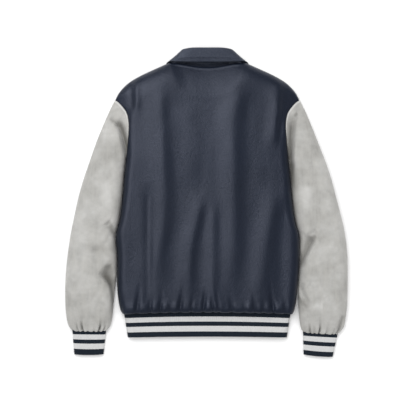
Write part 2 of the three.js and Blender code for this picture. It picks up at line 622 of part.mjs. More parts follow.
function buildBody() {
  const rolled = { count: 5, share: 0.06 };
  const columns = steps(34, rolled, rolled);
  const armholeStart = (underarmY - hemLineY(1)) / (shoulderTip.y - hemLineY(1));
  const low = steps(8, { count: 5, share: 0.075 }).map((t) => t * armholeStart);
  const high = armholeSteps.map((t) => lerp(1, armholeStart, t)).reverse();
  const rows = [...low.slice(0, -1), ...high];
  const backWall = wall(backSurface, columns, rows, leatherWall, { levelRims: [0, seamHeight + 2] });
  addPiece("back", backWall, navy, 0.42);
  const placketEnd = placketColumns.at(-1);
  const toSide = (x) => lerp(placketShare, 1, (x - placketEnd) / (shoulderTip.x - placketEnd));
  const frontColumns = [...placketSteps, ...shoulderColumns.map(toSide)];
  const frontRows = steps(12, { count: 1, share: 0.03 }, { count: 3, share: 0.03 });
  const outer = (u, v) => frontSurface(u, v, 0).multiply(new THREE.Vector3(-1, 1, 1));
  const inner = (u, v) => frontSurface(u, v, 1);
  const levelRims = [seamHeight - 1, seamHeight + 2];
  addPiece("front_left", wall(outer, frontColumns, frontRows, leatherWall, { levelRims }), navy, 0.42);
  const innerWall = wall(inner, frontColumns, frontRows, leatherWall, { levelRims, flip: true });
  addPiece("front_right", innerWall, navy, 0.42);
}

function ringSteps(top, bottom) {
  const above = top.slice(0, -1).map((t) => t * overTop);
  const below = bottom.slice(0, -1).map((t) => lerp(overTop, 1, t));
  return [...above, ...below];
}

function buildSleeves() {
  const around = ringSteps(armholeSteps, steps(2, { count: 2, share: 0.09 }, { count: 2, share: 0.09 }));
  const cuffUnder = steps(3, { count: 2, share: 0.11 }, { count: 2, share: 0.11 });
  const rows = steps(22, { count: 0, share: 0 }, { count: 2, share: 0.05 });
  for (const side of ["left", "right"]) {
    const mirror = side === "left" ? -1 : 1;
    const surface = (u, v) => sleeveSurface(side, u, v).multiply(new THREE.Vector3(mirror, 1, 1));
    const options = { ring: true, flip: side === "left" };
    addPiece("sleeve_" + side, wall(surface, around, rows, suedeWall, options), paleGrey, 0.9);
    const knit = ringSteps(steps(2 * cuffRibs(side)), cuffUnder);
    const cuff = (ribbed) => (u, v) =>
      cuffSurface(side, u, v, ribbed).multiply(new THREE.Vector3(mirror, 1, 1));
    const cuffWall = wall(cuff(true), knit, steps(2), knitWall, { ...options, plain: cuff(false) });
    addPiece("cuff_" + side, cuffWall, ribNavy, 0.85);
  }
}

function buildHemBand() {
  const beyond = steps(4, undefined, { count: 3, share: 0.06 }).map((t) => lerp(placketShare, 1, t));
  const under = [...placketSteps, ...beyond.slice(1)];
  const ribs = Math.round((2 * hemHalfTop) / ribPitch);
  const over = steps(2 * ribs).slice(1, -1);
  const columns = [
    ...under.map((t) => t * hemUnder),
    ...over.map((t) => lerp(hemUnder, 1 - hemUnder, t)),
    ...under.map((t) => 1 - t * hemUnder).reverse(),
  ];
  const surface = (ribbed) => (u, v) => hemSurface(u, v, ribbed);
  const geometry = wall(surface(true), columns, steps(2), knitWall, { flip: true, plain: surface(false) });
  addPiece("hem_band", geometry, ribNavy, 0.85);
}

function buildCollar() {
  const turning = steps(collarTurn.columns - 1).map((t) => lerp(collarTurn.from, collarTurn.to, t));
  const half = [0, 0.12, 0.24, ...turning, 0.79, 0.84, 0.89, 0.945, 1];
  const around = [...half.slice(1).reverse().map((at) => -at), ...half].map((at) => 0.5 + at / 2);
  const section = [0, 0.13, 0.27, 0.4, 0.45, 0.5, 0.55, 0.6, 0.74, 0.87, 1];
  addPiece("collar", wall(collarSurface, around, section, collarWall, { flip: true }), navy, 0.42);
}

function buildSnaps() {
  const first = frontNeckY - 22;
  const last = hemSeamY - 0.5 * hemBandDrop;
  for (let i = 0; i < snapCount; i++) {
    const y = lerp(first, last, i / (snapCount - 1));
    addPiece("snap_" + (i + 1), snapGeometry().translate(0, y, 0), snapMetal, 0.3, 0.9);
  }
}

buildBody();
buildSleeves();
buildHemBand();
buildCollar();
buildSnaps();

export default jacket;
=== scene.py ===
import math
import bmesh
import bpy
import numpy as np
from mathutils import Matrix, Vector, noise


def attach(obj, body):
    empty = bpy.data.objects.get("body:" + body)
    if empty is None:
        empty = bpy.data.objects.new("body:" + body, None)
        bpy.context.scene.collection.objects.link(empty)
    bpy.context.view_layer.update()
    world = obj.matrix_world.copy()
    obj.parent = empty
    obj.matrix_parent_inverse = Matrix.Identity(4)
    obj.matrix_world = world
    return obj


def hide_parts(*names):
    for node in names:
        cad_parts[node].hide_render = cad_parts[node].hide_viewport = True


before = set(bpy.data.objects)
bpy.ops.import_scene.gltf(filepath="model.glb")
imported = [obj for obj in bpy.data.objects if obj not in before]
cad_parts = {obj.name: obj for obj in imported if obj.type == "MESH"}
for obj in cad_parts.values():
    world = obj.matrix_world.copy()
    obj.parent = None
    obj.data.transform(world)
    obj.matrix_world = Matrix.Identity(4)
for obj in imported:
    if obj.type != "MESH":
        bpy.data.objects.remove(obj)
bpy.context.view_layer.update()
print("frame loaded:", len(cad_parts), "pieces")

mm = 0.001  # sizes are in millimetres, and those of the materials and lamps in metres
seamGap = 0.4
overTop = 0.62  # share of a sleeve's ring that lies on top
mergeDistance = 0.00001  # metres
folding = {"points": 20, "fadeIn": 0.2, "fadeOut": 0.3, "flare": 0.7}  # along a fold's path


def table(columns, *rows):
    return {name: np.array([row[k] for row in rows], float) for k, name in enumerate(columns.split())}


# a smooth curve through the rows of a table
def read(rows, key, column, at):
    keys, values = rows[key], rows[column]
    slopes = np.empty(len(keys))
    slopes[1:-1] = (values[2:] - values[:-2]) / (keys[2:] - keys[:-2])
    slopes[0] = (values[1] - values[0]) / (keys[1] - keys[0])
    slopes[-1] = (values[-1] - values[-2]) / (keys[-1] - keys[-2])
    i = np.clip(np.searchsorted(keys, at, side="left") - 1, 0, len(keys) - 2)
    span = keys[i + 1] - keys[i]
    t = np.clip((at - keys[i]) / span, 0, 1)
    start = (2 * t**3 - 3 * t**2 + 1) * values[i] + (t**3 - 2 * t**2 + t) * span * slopes[i]
    end = (3 * t**2 - 2 * t**3) * values[i + 1] + (t**3 - t**2) * span * slopes[i + 1]
    return start + end


def lerp(a, b, t):
    return a + (b - a) * t


def smooth(x, low, high):
    t = np.clip((x - low) / (high - low), 0, 1)
    return t * t * (3 - 2 * t)


def bell(distance, width):
    return np.exp(-((distance / width) ** 2))


# from 0 at an edge to 1 at the width: a quarter circle at power 2, nearly straight at power 1
def roll(distance, width, power=2):
    left = 1 - np.clip(distance / width, 0, 1)
    return (1 - left**power) ** (1 / power)


# steps from 0 to 1, closer together near an end where the cloth rolls over
def steps(middle, start=(0, 0), end=(0, 0)):
    def ease(count, share):
        return [share * (1 - math.cos(math.pi / 2 * i / count)) for i in range(count)]
    inner = [lerp(start[1], 1 - end[1], i / middle) for i in range(middle + 1)]
    return np.array(ease(*start) + inner + [1 - t for t in reversed(ease(*end))])


# from 0 at an edge up to 1 at the reach, and slowly down again
def hump(distance, reach):
    t = distance / reach
    return t * np.exp(1 - t)


# uneven ground that is the same each run, longer up the jacket where drawn is below 1
def unevenness(x, y, rise, size, seed, drawn=1):
    places = zip(x, y * drawn)
    return rise * np.array([noise.noise(Vector((a / size, b / size, seed))) for a, b in places])


# height of a list of folds: path, rise, and the widths on its left and right looking up the jacket
def foldHeight(folds, x, y):
    height = np.zeros(len(x))
    for path, rise, left, right in folds:
        knots = np.array(path, float)
        curve = {"at": np.linspace(0, 1, len(knots)), "x": knots[:, 0], "y": knots[:, 1]}
        fine = np.linspace(0, 1, folding["points"])
        line = np.stack([read(curve, "at", "x", fine), read(curve, "at", "y", fine)], axis=1)
        best, share, side = np.full(len(x), np.inf), np.zeros(len(x)), np.zeros(len(x))
        for i, (dx, dy) in enumerate(np.diff(line, axis=0)):
            toX, toY = x - line[i, 0], y - line[i, 1]
            t = np.clip((toX * dx + toY * dy) / (dx * dx + dy * dy), 0, 1)
            awayX, awayY = toX - t * dx, toY - t * dy
            distance = np.hypot(awayX, awayY)
            near = distance < best
            best = np.where(near, distance, best)
            share = np.where(near, (i + t) / (len(line) - 1), share)
            side = np.where(near, dx * awayY - dy * awayX, side)
        isLeft = (side > 0) == (knots[-1, 1] > knots[0, 1])
        fade = smooth(share, 0, folding["fadeIn"]) * smooth(1 - share, 0, folding["fadeOut"])
        width = np.where(isLeft, left, right) * (1 + folding["flare"] * (1 - fade))
        height += rise * fade * bell(best, width)
    return height


def newPiece(name, shape):
    mesh = bpy.data.meshes.new(name)
    shape.to_mesh(mesh)
    shape.free()
    piece = bpy.data.objects.new(name, mesh)
    bpy.context.collection.objects.link(piece)
    return piece


def shadeSmooth(piece):
    piece.data.polygons.foreach_set("use_smooth", [True] * len(piece.data.polygons))


# a sheet of cloth: a grid laid out by surface(u, v), given its thickness towards the inside
# a fourth value of the surface is painted shading for the material, darker above zero and lighter below it
def clothPiece(name, us, vs, surface, thickness, ring=False, turned=False):
    cloth = bmesh.new()
    bmesh.ops.create_grid(cloth, x_segments=len(us) - 1, y_segments=len(vs) - 1, size=1)
    if turned:
        bmesh.ops.reverse_faces(cloth, faces=cloth.faces[:])
    piece = newPiece(name, cloth)
    mesh = piece.data
    square = np.empty(len(mesh.vertices) * 3)
    mesh.vertices.foreach_get("co", square)
    i = np.rint((square[0::3] + 1) / 2 * (len(us) - 1)).astype(int)
    j = np.rint((square[1::3] + 1) / 2 * (len(vs) - 1)).astype(int)
    x, y, z, *shade = surface(us[i], vs[j])
    points = np.stack([x, y, z], axis=1) * mm
    mesh.vertices.foreach_set("co", points.ravel())
    order = np.empty((len(vs), len(us)), int)
    order[j, i] = np.arange(len(points))
    laid = points[order]
    across = np.zeros(order.shape)
    across[:, 1:] = np.cumsum(np.linalg.norm(np.diff(laid, axis=1), axis=2).mean(axis=0))
    along = np.zeros(order.shape)
    along[1:] = np.cumsum(np.linalg.norm(np.diff(laid, axis=0), axis=2).mean(axis=1))[:, None]
    corner = np.empty(len(mesh.loops), int)
    mesh.loops.foreach_get("vertex_index", corner)
    layer = mesh.uv_layers.new(name="cloth")
    layer.data.foreach_set("uv", np.stack([across[j, i][corner], along[j, i][corner]], axis=1).ravel())
    if shade:
        mesh.attributes.new("shade", "FLOAT", "POINT").data.foreach_set("value", shade[0])
    if ring:
        closed = bmesh.new()
        closed.from_mesh(mesh)
        bmesh.ops.remove_doubles(closed, verts=closed.verts[:], dist=mergeDistance)
        closed.to_mesh(mesh)
        closed.free()
    shadeSmooth(piece)
    wall = piece.modifiers.new("wall", "SOLIDIFY")
    wall.thickness = thickness * mm
    wall.offset = -1
    wall.use_even_offset = False
    return piece


def dress(piece, node, material):
    piece.data.materials.append(material)
    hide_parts(node)
    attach(piece, "root")


def newGroup(name, inputs, outputs):
    group = bpy.data.node_groups.new(name, "ShaderNodeTree")
    for label, kind, value in inputs:
        socket = group.interface.new_socket(label, in_out="INPUT", socket_type=kind)
        if value is not None:
            socket.default_value = value
    for label, kind in outputs:
        group.interface.new_socket(label, in_out="OUTPUT", socket_type=kind)
    return group, group.nodes.new("NodeGroupInput"), group.nodes.new("NodeGroupOutput")


# a node with its settings and plain input values; an input that is another node's output is linked
def addNode(tree, kind, inputs=(), **settings):
    node = tree.nodes.new("ShaderNode" + kind)
    for key, value in settings.items():
        setattr(node, key, value)
    for key, value in dict(inputs).items():
        if isinstance(value, bpy.types.NodeSocket):
            tree.links.new(value, node.inputs[key])
        else:
            node.inputs[key].default_value = value
    return node


def addMath(tree, operation, a, b=0.0, clamp=False):
    return addNode(tree, "Math", {0: a, 1: b}, operation=operation, use_clamp=clamp).outputs[0]


# sockets 6 and 7 of the node hold its two colours
def addMix(tree, factor, a, b):
    return addNode(tree, "Mix", {0: factor, 6: a, 7: b}, data_type="RGBA").outputs[2]


def placeGroup(tree, group, inputs):
    return addNode(tree, "Group", inputs, node_tree=group)


def addNoise(tree, vector, scale, detail, roughness=0.5):
    inputs = {"Vector": vector, "Scale": scale, "Detail": detail, "Roughness": roughness}
    return addNode(tree, "TexNoise", inputs).outputs["Fac"]


# lays a colour over another, by an amount times its share
def addTint(tree, under, colour, amount, share, clamp=False):
    return addMix(tree, addMath(tree, "MULTIPLY", amount, share, clamp=clamp), under, colour)


# soft blotches from 0 to 1, Size metres across
def makeClouding():
    group, given, result = newGroup(
        "clouding",
        [("Vector", "NodeSocketVector", None), ("Size", "NodeSocketFloat", 0.05),
         ("Contrast", "NodeSocketFloat", 1.0)],
        [("Amount", "NodeSocketFloat")],
    )
    scale = addMath(group, "DIVIDE", 1.0, given.outputs["Size"])
    off = addMath(group, "SUBTRACT", addNoise(group, given.outputs["Vector"], scale, 4.0, 0.55), 0.5)
    spread = addMath(group, "MULTIPLY", off, given.outputs["Contrast"])
    group.links.new(addMath(group, "ADD", spread, 0.5, clamp=True), result.inputs["Amount"])
    return group


# pebbled grain: rounded cells with creases between them, and wrinkles over several cells
def makeGrain(coarser, wrinkleRise):
    group, given, result = newGroup(
        "leatherGrain",
        [("Vector", "NodeSocketVector", None), ("Cell", "NodeSocketFloat", 0.0014)],
        [("Height", "NodeSocketFloat"), ("Speck", "NodeSocketFloat")],
    )
    scale = addMath(group, "DIVIDE", 1.0, given.outputs["Cell"])
    cells = addNode(group, "TexVoronoi", {
        "Vector": given.outputs["Vector"], "Scale": scale, "Smoothness": 0.4,
    }, feature="SMOOTH_F1")
    coarse = addMath(group, "MULTIPLY", scale, coarser)
    wrinkles = addNoise(group, given.outputs["Vector"], coarse, 5.0, 0.6)
    dome = addMath(group, "SUBTRACT", 1.0, cells.outputs["Distance"])
    wrinkled = addMath(group, "MULTIPLY", wrinkles, wrinkleRise)
    group.links.new(addMath(group, "ADD", dome, wrinkled), result.inputs["Height"])
    group.links.new(wrinkles, result.inputs["Speck"])
    return group


# rows of stitches along a rib, from the cloth's own coordinates
def makeStitches(slope, fuzzScale):
    group, given, result = newGroup(
        "knitStitches",
        [("UV", "NodeSocketVector", None), ("Stitch", "NodeSocketFloat", 0.0016),
         ("Rib", "NodeSocketFloat", 0.005)],
        [("Height", "NodeSocketFloat"), ("Shade", "NodeSocketFloat")],
    )
    axes = addNode(group, "SeparateXYZ", {"Vector": given.outputs["UV"]})
    acrossRib = addMath(group, "DIVIDE", 2 * math.tau, given.outputs["Rib"])
    halfRib = addMath(group, "SINE", addMath(group, "MULTIPLY", axes.outputs["X"], acrossRib))
    slant = addMath(group, "MULTIPLY", addMath(group, "ABSOLUTE", halfRib), slope)
    upRib = addMath(group, "DIVIDE", math.tau, given.outputs["Stitch"])
    climb = addMath(group, "MULTIPLY", axes.outputs["Y"], upRib)
    loops = addMath(group, "SINE", addMath(group, "ADD", climb, slant))
    fuzz = addNoise(group, given.outputs["UV"], fuzzScale, 3.0)
    group.links.new(addMath(group, "ADD", loops, fuzz), result.inputs["Height"])
    group.links.new(fuzz, result.inputs["Shade"])
    return group


clouding = makeClouding()
leatherGrain = makeGrain(coarser=0.3, wrinkleRise=4.0)
knitStitches = makeStitches(slope=2.2, fuzzScale=1800.0)


def addClouds(tree, vector, size, contrast):
    inputs = {"Vector": vector, "Size": size, "Contrast": contrast}
    return placeGroup(tree, clouding, inputs).outputs["Amount"]


def newMaterial(name, sockets):
    material = bpy.data.materials.new(name)
    material.use_nodes = True
    shader = material.node_tree.nodes["Principled BSDF"]
    for key, value in sockets.items():
        shader.inputs[key].default_value = value
    return material, material.node_tree, shader


def addBump(tree, shader, height, distance):
    bump = addNode(tree, "Bump", {"Height": height, "Distance": distance, "Strength": 1.0})
    tree.links.new(bump.outputs["Normal"], shader.inputs["Normal"])


def varyRoughness(tree, shader, amount, between):
    start, end = between
    varied = addNode(tree, "Math", {0: amount, 1: end - start, 2: start}, operation="MULTIPLY_ADD")
    tree.links.new(varied.outputs[0], shader.inputs["Roughness"])


def leatherMaterial(name, look):
    material, tree, shader = newMaterial(name, look["shader"])
    place = addNode(tree, "TexCoord").outputs["Object"]
    grain = placeGroup(tree, leatherGrain, {"Vector": place, "Cell": look["cell"]})
    off = addMath(tree, "SUBTRACT", grain.outputs["Speck"], 0.5)
    speck = addMath(tree, "MULTIPLY", off, look["speckle"])
    tone = addMath(tree, "ADD", addClouds(tree, place, *look["clouds"]), speck, clamp=True)
    tree.links.new(addMix(tree, tone, look["dark"], look["light"]), shader.inputs["Base Color"])
    varyRoughness(tree, shader, tone, look["roughness"])
    addBump(tree, shader, grain.outputs["Height"], look["grainDepth"])
    return material


def suedeMaterial(name, look):
    material, tree, shader = newMaterial(name, look["shader"])
    place = addNode(tree, "TexCoord").outputs["Object"]
    brushed = addNode(tree, "Mapping", {
        "Vector": place, "Scale": look["strokeScale"], "Rotation": look["strokeTurn"],
    }).outputs["Vector"]
    fine = addClouds(tree, place, *look["fineClouds"])
    strokes = addClouds(tree, brushed, *look["strokes"])
    nap = addNoise(tree, place, look["napScale"], 4.0, 0.7)
    # the shade attribute: painted shade in creases and recesses above zero; below zero, lighter patches and a
    # painted highlight along the cap's seam
    paintedShading = addNode(tree, "Attribute", attribute_name="shade").outputs["Fac"]
    tone = addMix(tree, addClouds(tree, place, *look["broadClouds"]), look["dark"], look["light"])
    tone = addTint(tree, tone, look["shade"], fine, look["fineShare"])
    tone = addTint(tree, tone, look["warm"], strokes, look["strokeShare"])
    tone = addTint(tree, tone, look["shade"], nap, look["napShare"])
    tone = addTint(tree, tone, look["paintedCreaseShade"], paintedShading, 1.0, clamp=True)
    tone = addTint(tree, tone, look["bright"], paintedShading, -1.0, clamp=True)
    tree.links.new(tone, shader.inputs["Base Color"])
    height = addMath(tree, "ADD", nap, addMath(tree, "MULTIPLY", fine, look["fineRise"]))
    addBump(tree, shader, height, look["napDepth"])
    return material


# stripes are shares of the band's depth, counted from the seam
def knitMaterial(name, look, depth, stripes):
    material, tree, shader = newMaterial(name, look["shader"])
    place = addNode(tree, "UVMap", uv_map="cloth").outputs["UV"]
    stitches = placeGroup(tree, knitStitches, {"UV": place, "Stitch": look["stitch"], "Rib": look["rib"]})
    down = addNode(tree, "SeparateXYZ", {"Vector": place}).outputs["Y"]
    off = addMath(tree, "SUBTRACT", stitches.outputs["Shade"], 0.5)
    wander = addMath(tree, "MULTIPLY", off, look["wander"])
    share = addMath(tree, "DIVIDE", addMath(tree, "ADD", down, wander), depth * mm)
    ramp = addNode(tree, "ValToRGB", {"Fac": share})
    ramp.color_ramp.interpolation = "CONSTANT"
    for k, stripe in enumerate(stripes):
        element = ramp.color_ramp.elements[k] if k < 1 else ramp.color_ramp.elements.new(stripe)
        element.position = stripe
        element.color = look["light"] if k % 2 else look["dark"]
    ramp.color_ramp.elements.remove(ramp.color_ramp.elements[-1])  # the white one that a new ramp ends with
    yarn = addTint(tree, ramp.outputs["Color"], look["shade"], stitches.outputs["Shade"], look["fuzz"])
    tree.links.new(yarn, shader.inputs["Base Color"])
    addBump(tree, shader, stitches.outputs["Height"], look["stitchDepth"])
    return material


def metalMaterial(name, look):
    material, tree, shader = newMaterial(name, look["shader"])
    place = addNode(tree, "TexCoord").outputs["Object"]
    scuff = addClouds(tree, place, *look["scuffs"])
    tree.links.new(addMix(tree, scuff, look["dark"], look["light"]), shader.inputs["Base Color"])
    varyRoughness(tree, shader, scuff, look["roughness"])
    addBump(tree, shader, scuff, look["scuffDepth"])
    return material


# clouds, strokes and scuffs are given by their size and contrast
bodyLeather = leatherMaterial("bodyLeather", {
    "dark": (0.0055, 0.0085, 0.0165, 1), "light": (0.0095, 0.0135, 0.0245, 1), "roughness": (0.41, 0.31),
    "cell": 0.0014, "clouds": (0.16, 1.6), "speckle": 2.4, "grainDepth": 0.00015,
    "shader": {"Specular IOR Level": 0.5, "Specular Tint": (0.8, 0.84, 1.0, 1)},
})
collarLeather = leatherMaterial("collarLeather", {
    "dark": (0.016, 0.020, 0.032, 1), "light": (0.036, 0.041, 0.057, 1), "roughness": (0.51, 0.41),
    "cell": 0.0013, "clouds": (0.05, 1.6), "speckle": 2.2, "grainDepth": 0.00018,
    "shader": {"Specular IOR Level": 0.5, "Specular Tint": (0.75, 0.83, 1.0, 1)},
})
paleSuede = suedeMaterial("paleSuede", {
    "dark": (0.262, 0.26, 0.247, 1), "light": (0.53, 0.528, 0.518, 1), "shade": (0.225, 0.222, 0.21, 1),
    # the darkest colour here is painted shade for creases and recesses; the brightest is a painted highlight
    # at the cap's seam and lighter patches
    "warm": (0.43, 0.42, 0.395, 1), "paintedCreaseShade": (0.13, 0.126, 0.115, 1), "bright": (0.7, 0.7, 0.69, 1),
    "broadClouds": (0.05, 2.4), "fineClouds": (0.012, 2.0), "strokes": (0.008, 1.8),
    "strokeScale": (1.0, 0.16, 1.0), "strokeTurn": (0.0, 0.0, 0.1), "strokeShare": 0.65, "fineShare": 0.34,
    "fineRise": 2.0, "napScale": 900.0, "napShare": 0.3, "napDepth": 0.0002,
    "shader": {
        "Roughness": 0.95, "Specular IOR Level": 0.2, "Sheen Weight": 0.25, "Sheen Roughness": 0.45,
    },
})
yarnLook = {
    "dark": (0.008, 0.013, 0.021, 1), "light": (0.58, 0.58, 0.58, 1), "shade": (0.03, 0.034, 0.04, 1),
    "stitch": 0.0017, "rib": 0.005, "wander": 0.0016, "fuzz": 0.12, "stitchDepth": 0.00012,
    "shader": {
        "Roughness": 0.9, "Specular IOR Level": 0.15, "Sheen Weight": 0.08, "Sheen Roughness": 0.45,
    },
}
knit = {
    "hemDepth": 66, "cuffDepth": 63, "wall": 3, "rib": 5, "ribDepth": 0.8,
    "down": steps(26, (0, 0), (4, 0.03)),
    # widths over which the ribs fade and the underside lifts at a band's side, and a folded end's roll
    "ribFade": 6, "underRoll": 9, "endRise": 1.3, "endRoll": 2.2,
}
hemKnit = knitMaterial("hemKnit", yarnLook, knit["hemDepth"], (0.0, 0.2, 0.395, 0.565, 0.785))
cuffKnit = knitMaterial("cuffKnit", yarnLook, knit["cuffDepth"], (0.0, 0.18, 0.39, 0.555, 0.785))
snapSteel = metalMaterial("snapSteel", {
    "dark": (0.35, 0.36, 0.38, 1), "light": (0.55, 0.56, 0.58, 1), "roughness": (0.27, 0.43),
    "scuffs": (0.004, 2.0), "scuffDepth": 0.00002,
    "shader": {"Metallic": 1.0, "Specular IOR Level": 0.5},
})
print("materials made:", len(bpy.data.materials))

# the plan of the body from above, with Y up the jacket from hem to collar
body = {
    "underarmY": 109.6, "tipX": 239.5, "tipY": 264.8, "neckHalf": 100, "neckSideY": 362, "backNeckY": 350.6,
    "frontNeckY": 265, "frontNeckPower": 2.4, "hemSeamY": -282.8, "hemArch": 4.9, "sleeveGap": 0.9,
    "loft": 44, "seamHeight": 9, "armholeLift": 20, "armholePower": 0.6, "neckLoft": 17,
    # the lean to the right below the elbows, most at leanY and in full at the widest part
    "lean": 3, "leanY": -150, "leanReach": 45, "widest": 237,
    "side": table(
        "y half", (-287.7, 219.2), (-275.2, 226.7), (-254.4, 231.4), (-223.2, 234.6), (-181.6, 236.6),
        (-134.8, 237.5), (-98.4, 239), (-80, 237.5), (-62, 232), (-25.6, 225.4), (16, 220.5), (57.6, 217.1),
        (109.6, 211.6), (161.6, 205.1), (200.6, 202.8), (226.6, 206.7), (239.6, 213.2), (252.6, 223.9),
        (260.4, 232.2), (264.8, 239.5),
    ),
    "shoulder": table(
        "x y", (100, 362), (141.7, 343.6), (174.7, 328), (201.2, 312.4), (218.9, 296.8), (231.4, 281.2),
        (239.5, 264.8),
    ),
    # how the back rolls over at its sides
    "roll": table(
        "y width power", (-287.7, 25, 2), (80, 26, 2), (150, 23, 2), (200, 20, 1.9), (232, 34, 1.35),
        (264.8, 60, 1.2),
    ),
}


def hemLineY(across):
    return body["hemSeamY"] - body["hemArch"] * across**2


def bodyHalf(y):
    return read(body["side"], "y", "half", y)


def topLine(x, neckLine):
    return np.where(x > body["neckHalf"], read(body["shoulder"], "x", "y", x), neckLine)


def backTopY(x):
    x = np.abs(x)
    climb = 0.5 * (1 - np.cos(np.pi * x / body["neckHalf"]))
    return topLine(x, lerp(body["backNeckY"], body["neckSideY"], climb))


def frontTopY(x):
    x = np.abs(x)
    climb = (x / body["neckHalf"]) ** body["frontNeckPower"]
    return topLine(x, lerp(body["frontNeckY"], body["neckSideY"], climb))


# reach gives a panel point's distance from the centre where the body is that wide, up its share of the height
def bodyPlan(reach, up, topY):
    sideY = lerp(hemLineY(1), body["tipY"], up)
    half = bodyHalf(sideY)
    x = reach(half)
    topX = np.abs(reach(np.full(len(x), body["tipX"])))
    top, hem = topY(topX), hemLineY(x / half)
    y = lerp(hem, top, up)
    fromEdges = {"fromSide": half - np.abs(x), "fromTop": top - y, "fromHem": y - hem}
    return {"x": x, "y": y, "sideY": sideY, "topX": topX, **fromEdges}


def leanAt(y):
    return body["lean"] * bell(y - body["leanY"], body["leanReach"])


def leaning(surface):
    def leant(u, v):
        x, y, z = surface(u, v)
        return x + leanAt(y) * (x / body["widest"]) ** 2, y, z
    return leant


# from 0 at the underarm and the shoulder tip to 1 between them
def armholeSwell(y):
    share = np.clip((y - body["underarmY"]) / (body["tipY"] - body["underarmY"]), 0, 1)
    return np.sin(np.pi * share) ** body["armholePower"]


band = {
    "halfTop": 217, "halfBottom": 207, "sideRise": 2.2, "loft": 21, "edgeHeight": 8, "edgeRoll": 16,
    # share of its round under the jacket at each end, and steps across a rib
    "under": 0.18, "ribSteps": 6,
}


def bandTopHeight(x, half):
    return lerp(band["edgeHeight"], band["loft"], roll(half - np.abs(x), band["edgeRoll"]))


back = {
    "wall": 2.4, "columns": steps(150, (9, 0.05), (9, 0.05)), "rows": steps(205, (9, 0.03), (7, 0.02)),
    # width and power of the roll at each edge, and the power of the crown's rise over them
    "shoulderRoll": (46, 1.8), "neckRoll": (80, 1.25), "hemRoll": (15, 2), "risePower": 1.25,
    # the neck's own height and roll start outside its corner and are full further in
    "neckOutside": 27, "neckReach": 66,
    # shares of the crown that are lost at the sides and up towards the neck
    "sideFall": 0.08, "topFall": 0.16, "topFallFrom": 0.6,
    # rise, place and width of the lip at the neck seam
    "lip": (2.2, 4, 2.2),
    # how far the cloth hangs over the band, where, and the share of it that the gathers take away
    "overhang": 7, "overhangReach": 5, "overhangShare": 0.3,
    # the swollen cloth between two gathers: rise, place and width, then its unevenness
    "lobe": (0.9, 15, 9), "lobeUneven": (2.6, 19, 4.7, 0.2),
    # rise, size, seed and drawn
    "uneven": [(0.5, 30, 3.1, 0.4), (0.12, 9, 7.7)],
    # how deep a gather sinks, where along its reach, how it slants outwards, and the width that it takes
    "gather": {"sink": 0.6, "deepest": 0.22, "slant": 0.12, "spread": 1.3},
    # path from the shoulders to the hem, rise, width on its left and on its right
    "folds": [
        (((-104, 352), (-122, 270), (-118, 170), (-115, 60), (-114, -40), (-127, -130), (-131, -215),
          (-138, -420)), 5.6, 26, 22),
        (((-152, 60), (-152, -110), (-154, -420)), -3, 13, 10),
        (((84, 352), (76, 275), (65, 205), (66, 120), (67, 10), (67, -110), (59, -215), (54, -420)),
         6.4, 30, 25),
        (((176, 60), (160, -60), (146, -130), (137, -215), (120, -420)), 5, 30, 22),
        (((-8, 60), (-26, -40), (-40, -100), (-46, -150), (-48, -215), (-52, -420)), 4.6, 24, 15),
        (((14, 50), (14, -110), (13, -215), (12, -420)), 3.8, 16, 16),
        (((196, 20), (190, -140), (186, -420)), -1.6, 18, 16),
        (((-206, 420), (-199, 300), (-196, 215)), -3.5, 8, 8),
        (((-183, 420), (-183, 300), (-184, 215)), 2.4, 8, 9),
        (((190, 440), (186, 290), (176, 200), (170, 110)), 3.2, 18, 8),
        (((212, 415), (207, 290), (192, 200), (186, 130)), -2.6, 8, 8),
        (((-60, 260), (-40, 150), (-55, 20)), 1.2, 24, 24),
    ],
    # gathers at the hem: x, depth, width, reach
    "puckers": [
        (-222, 6, 5, 40), (-183, 8, 6, 70), (-149, 5, 5, 50), (-123, 8, 5, 46), (-96, 3, 5, 30),
        (-71, 9, 6, 60), (-42, 6, 4, 40), (-11, 9, 4.5, 56), (15, 8, 4, 46), (30, 6, 4, 60), (64, 7, 6, 40),
        (96, 3, 5, 30), (124, 6, 5, 46), (147, 4, 5, 40), (171, 10, 5, 66), (203, 6, 5, 40),
    ],
}


# how far the gathers sink below the cloth, and from 0 in a gather to 1 between two of them
def gatherHem(x, fromHem):
    gather = back["gather"]
    height, lobe = np.zeros(len(x)), np.ones(len(x))
    for at, depth, width, reach in back["puckers"]:
        aside = x - at + gather["slant"] * fromHem * np.sign(at)
        height -= gather["sink"] * depth * hump(fromHem, gather["deepest"] * reach) * bell(aside, width)
        lobe *= 1 - bell(x - at, gather["spread"] * width)
    return height, lobe


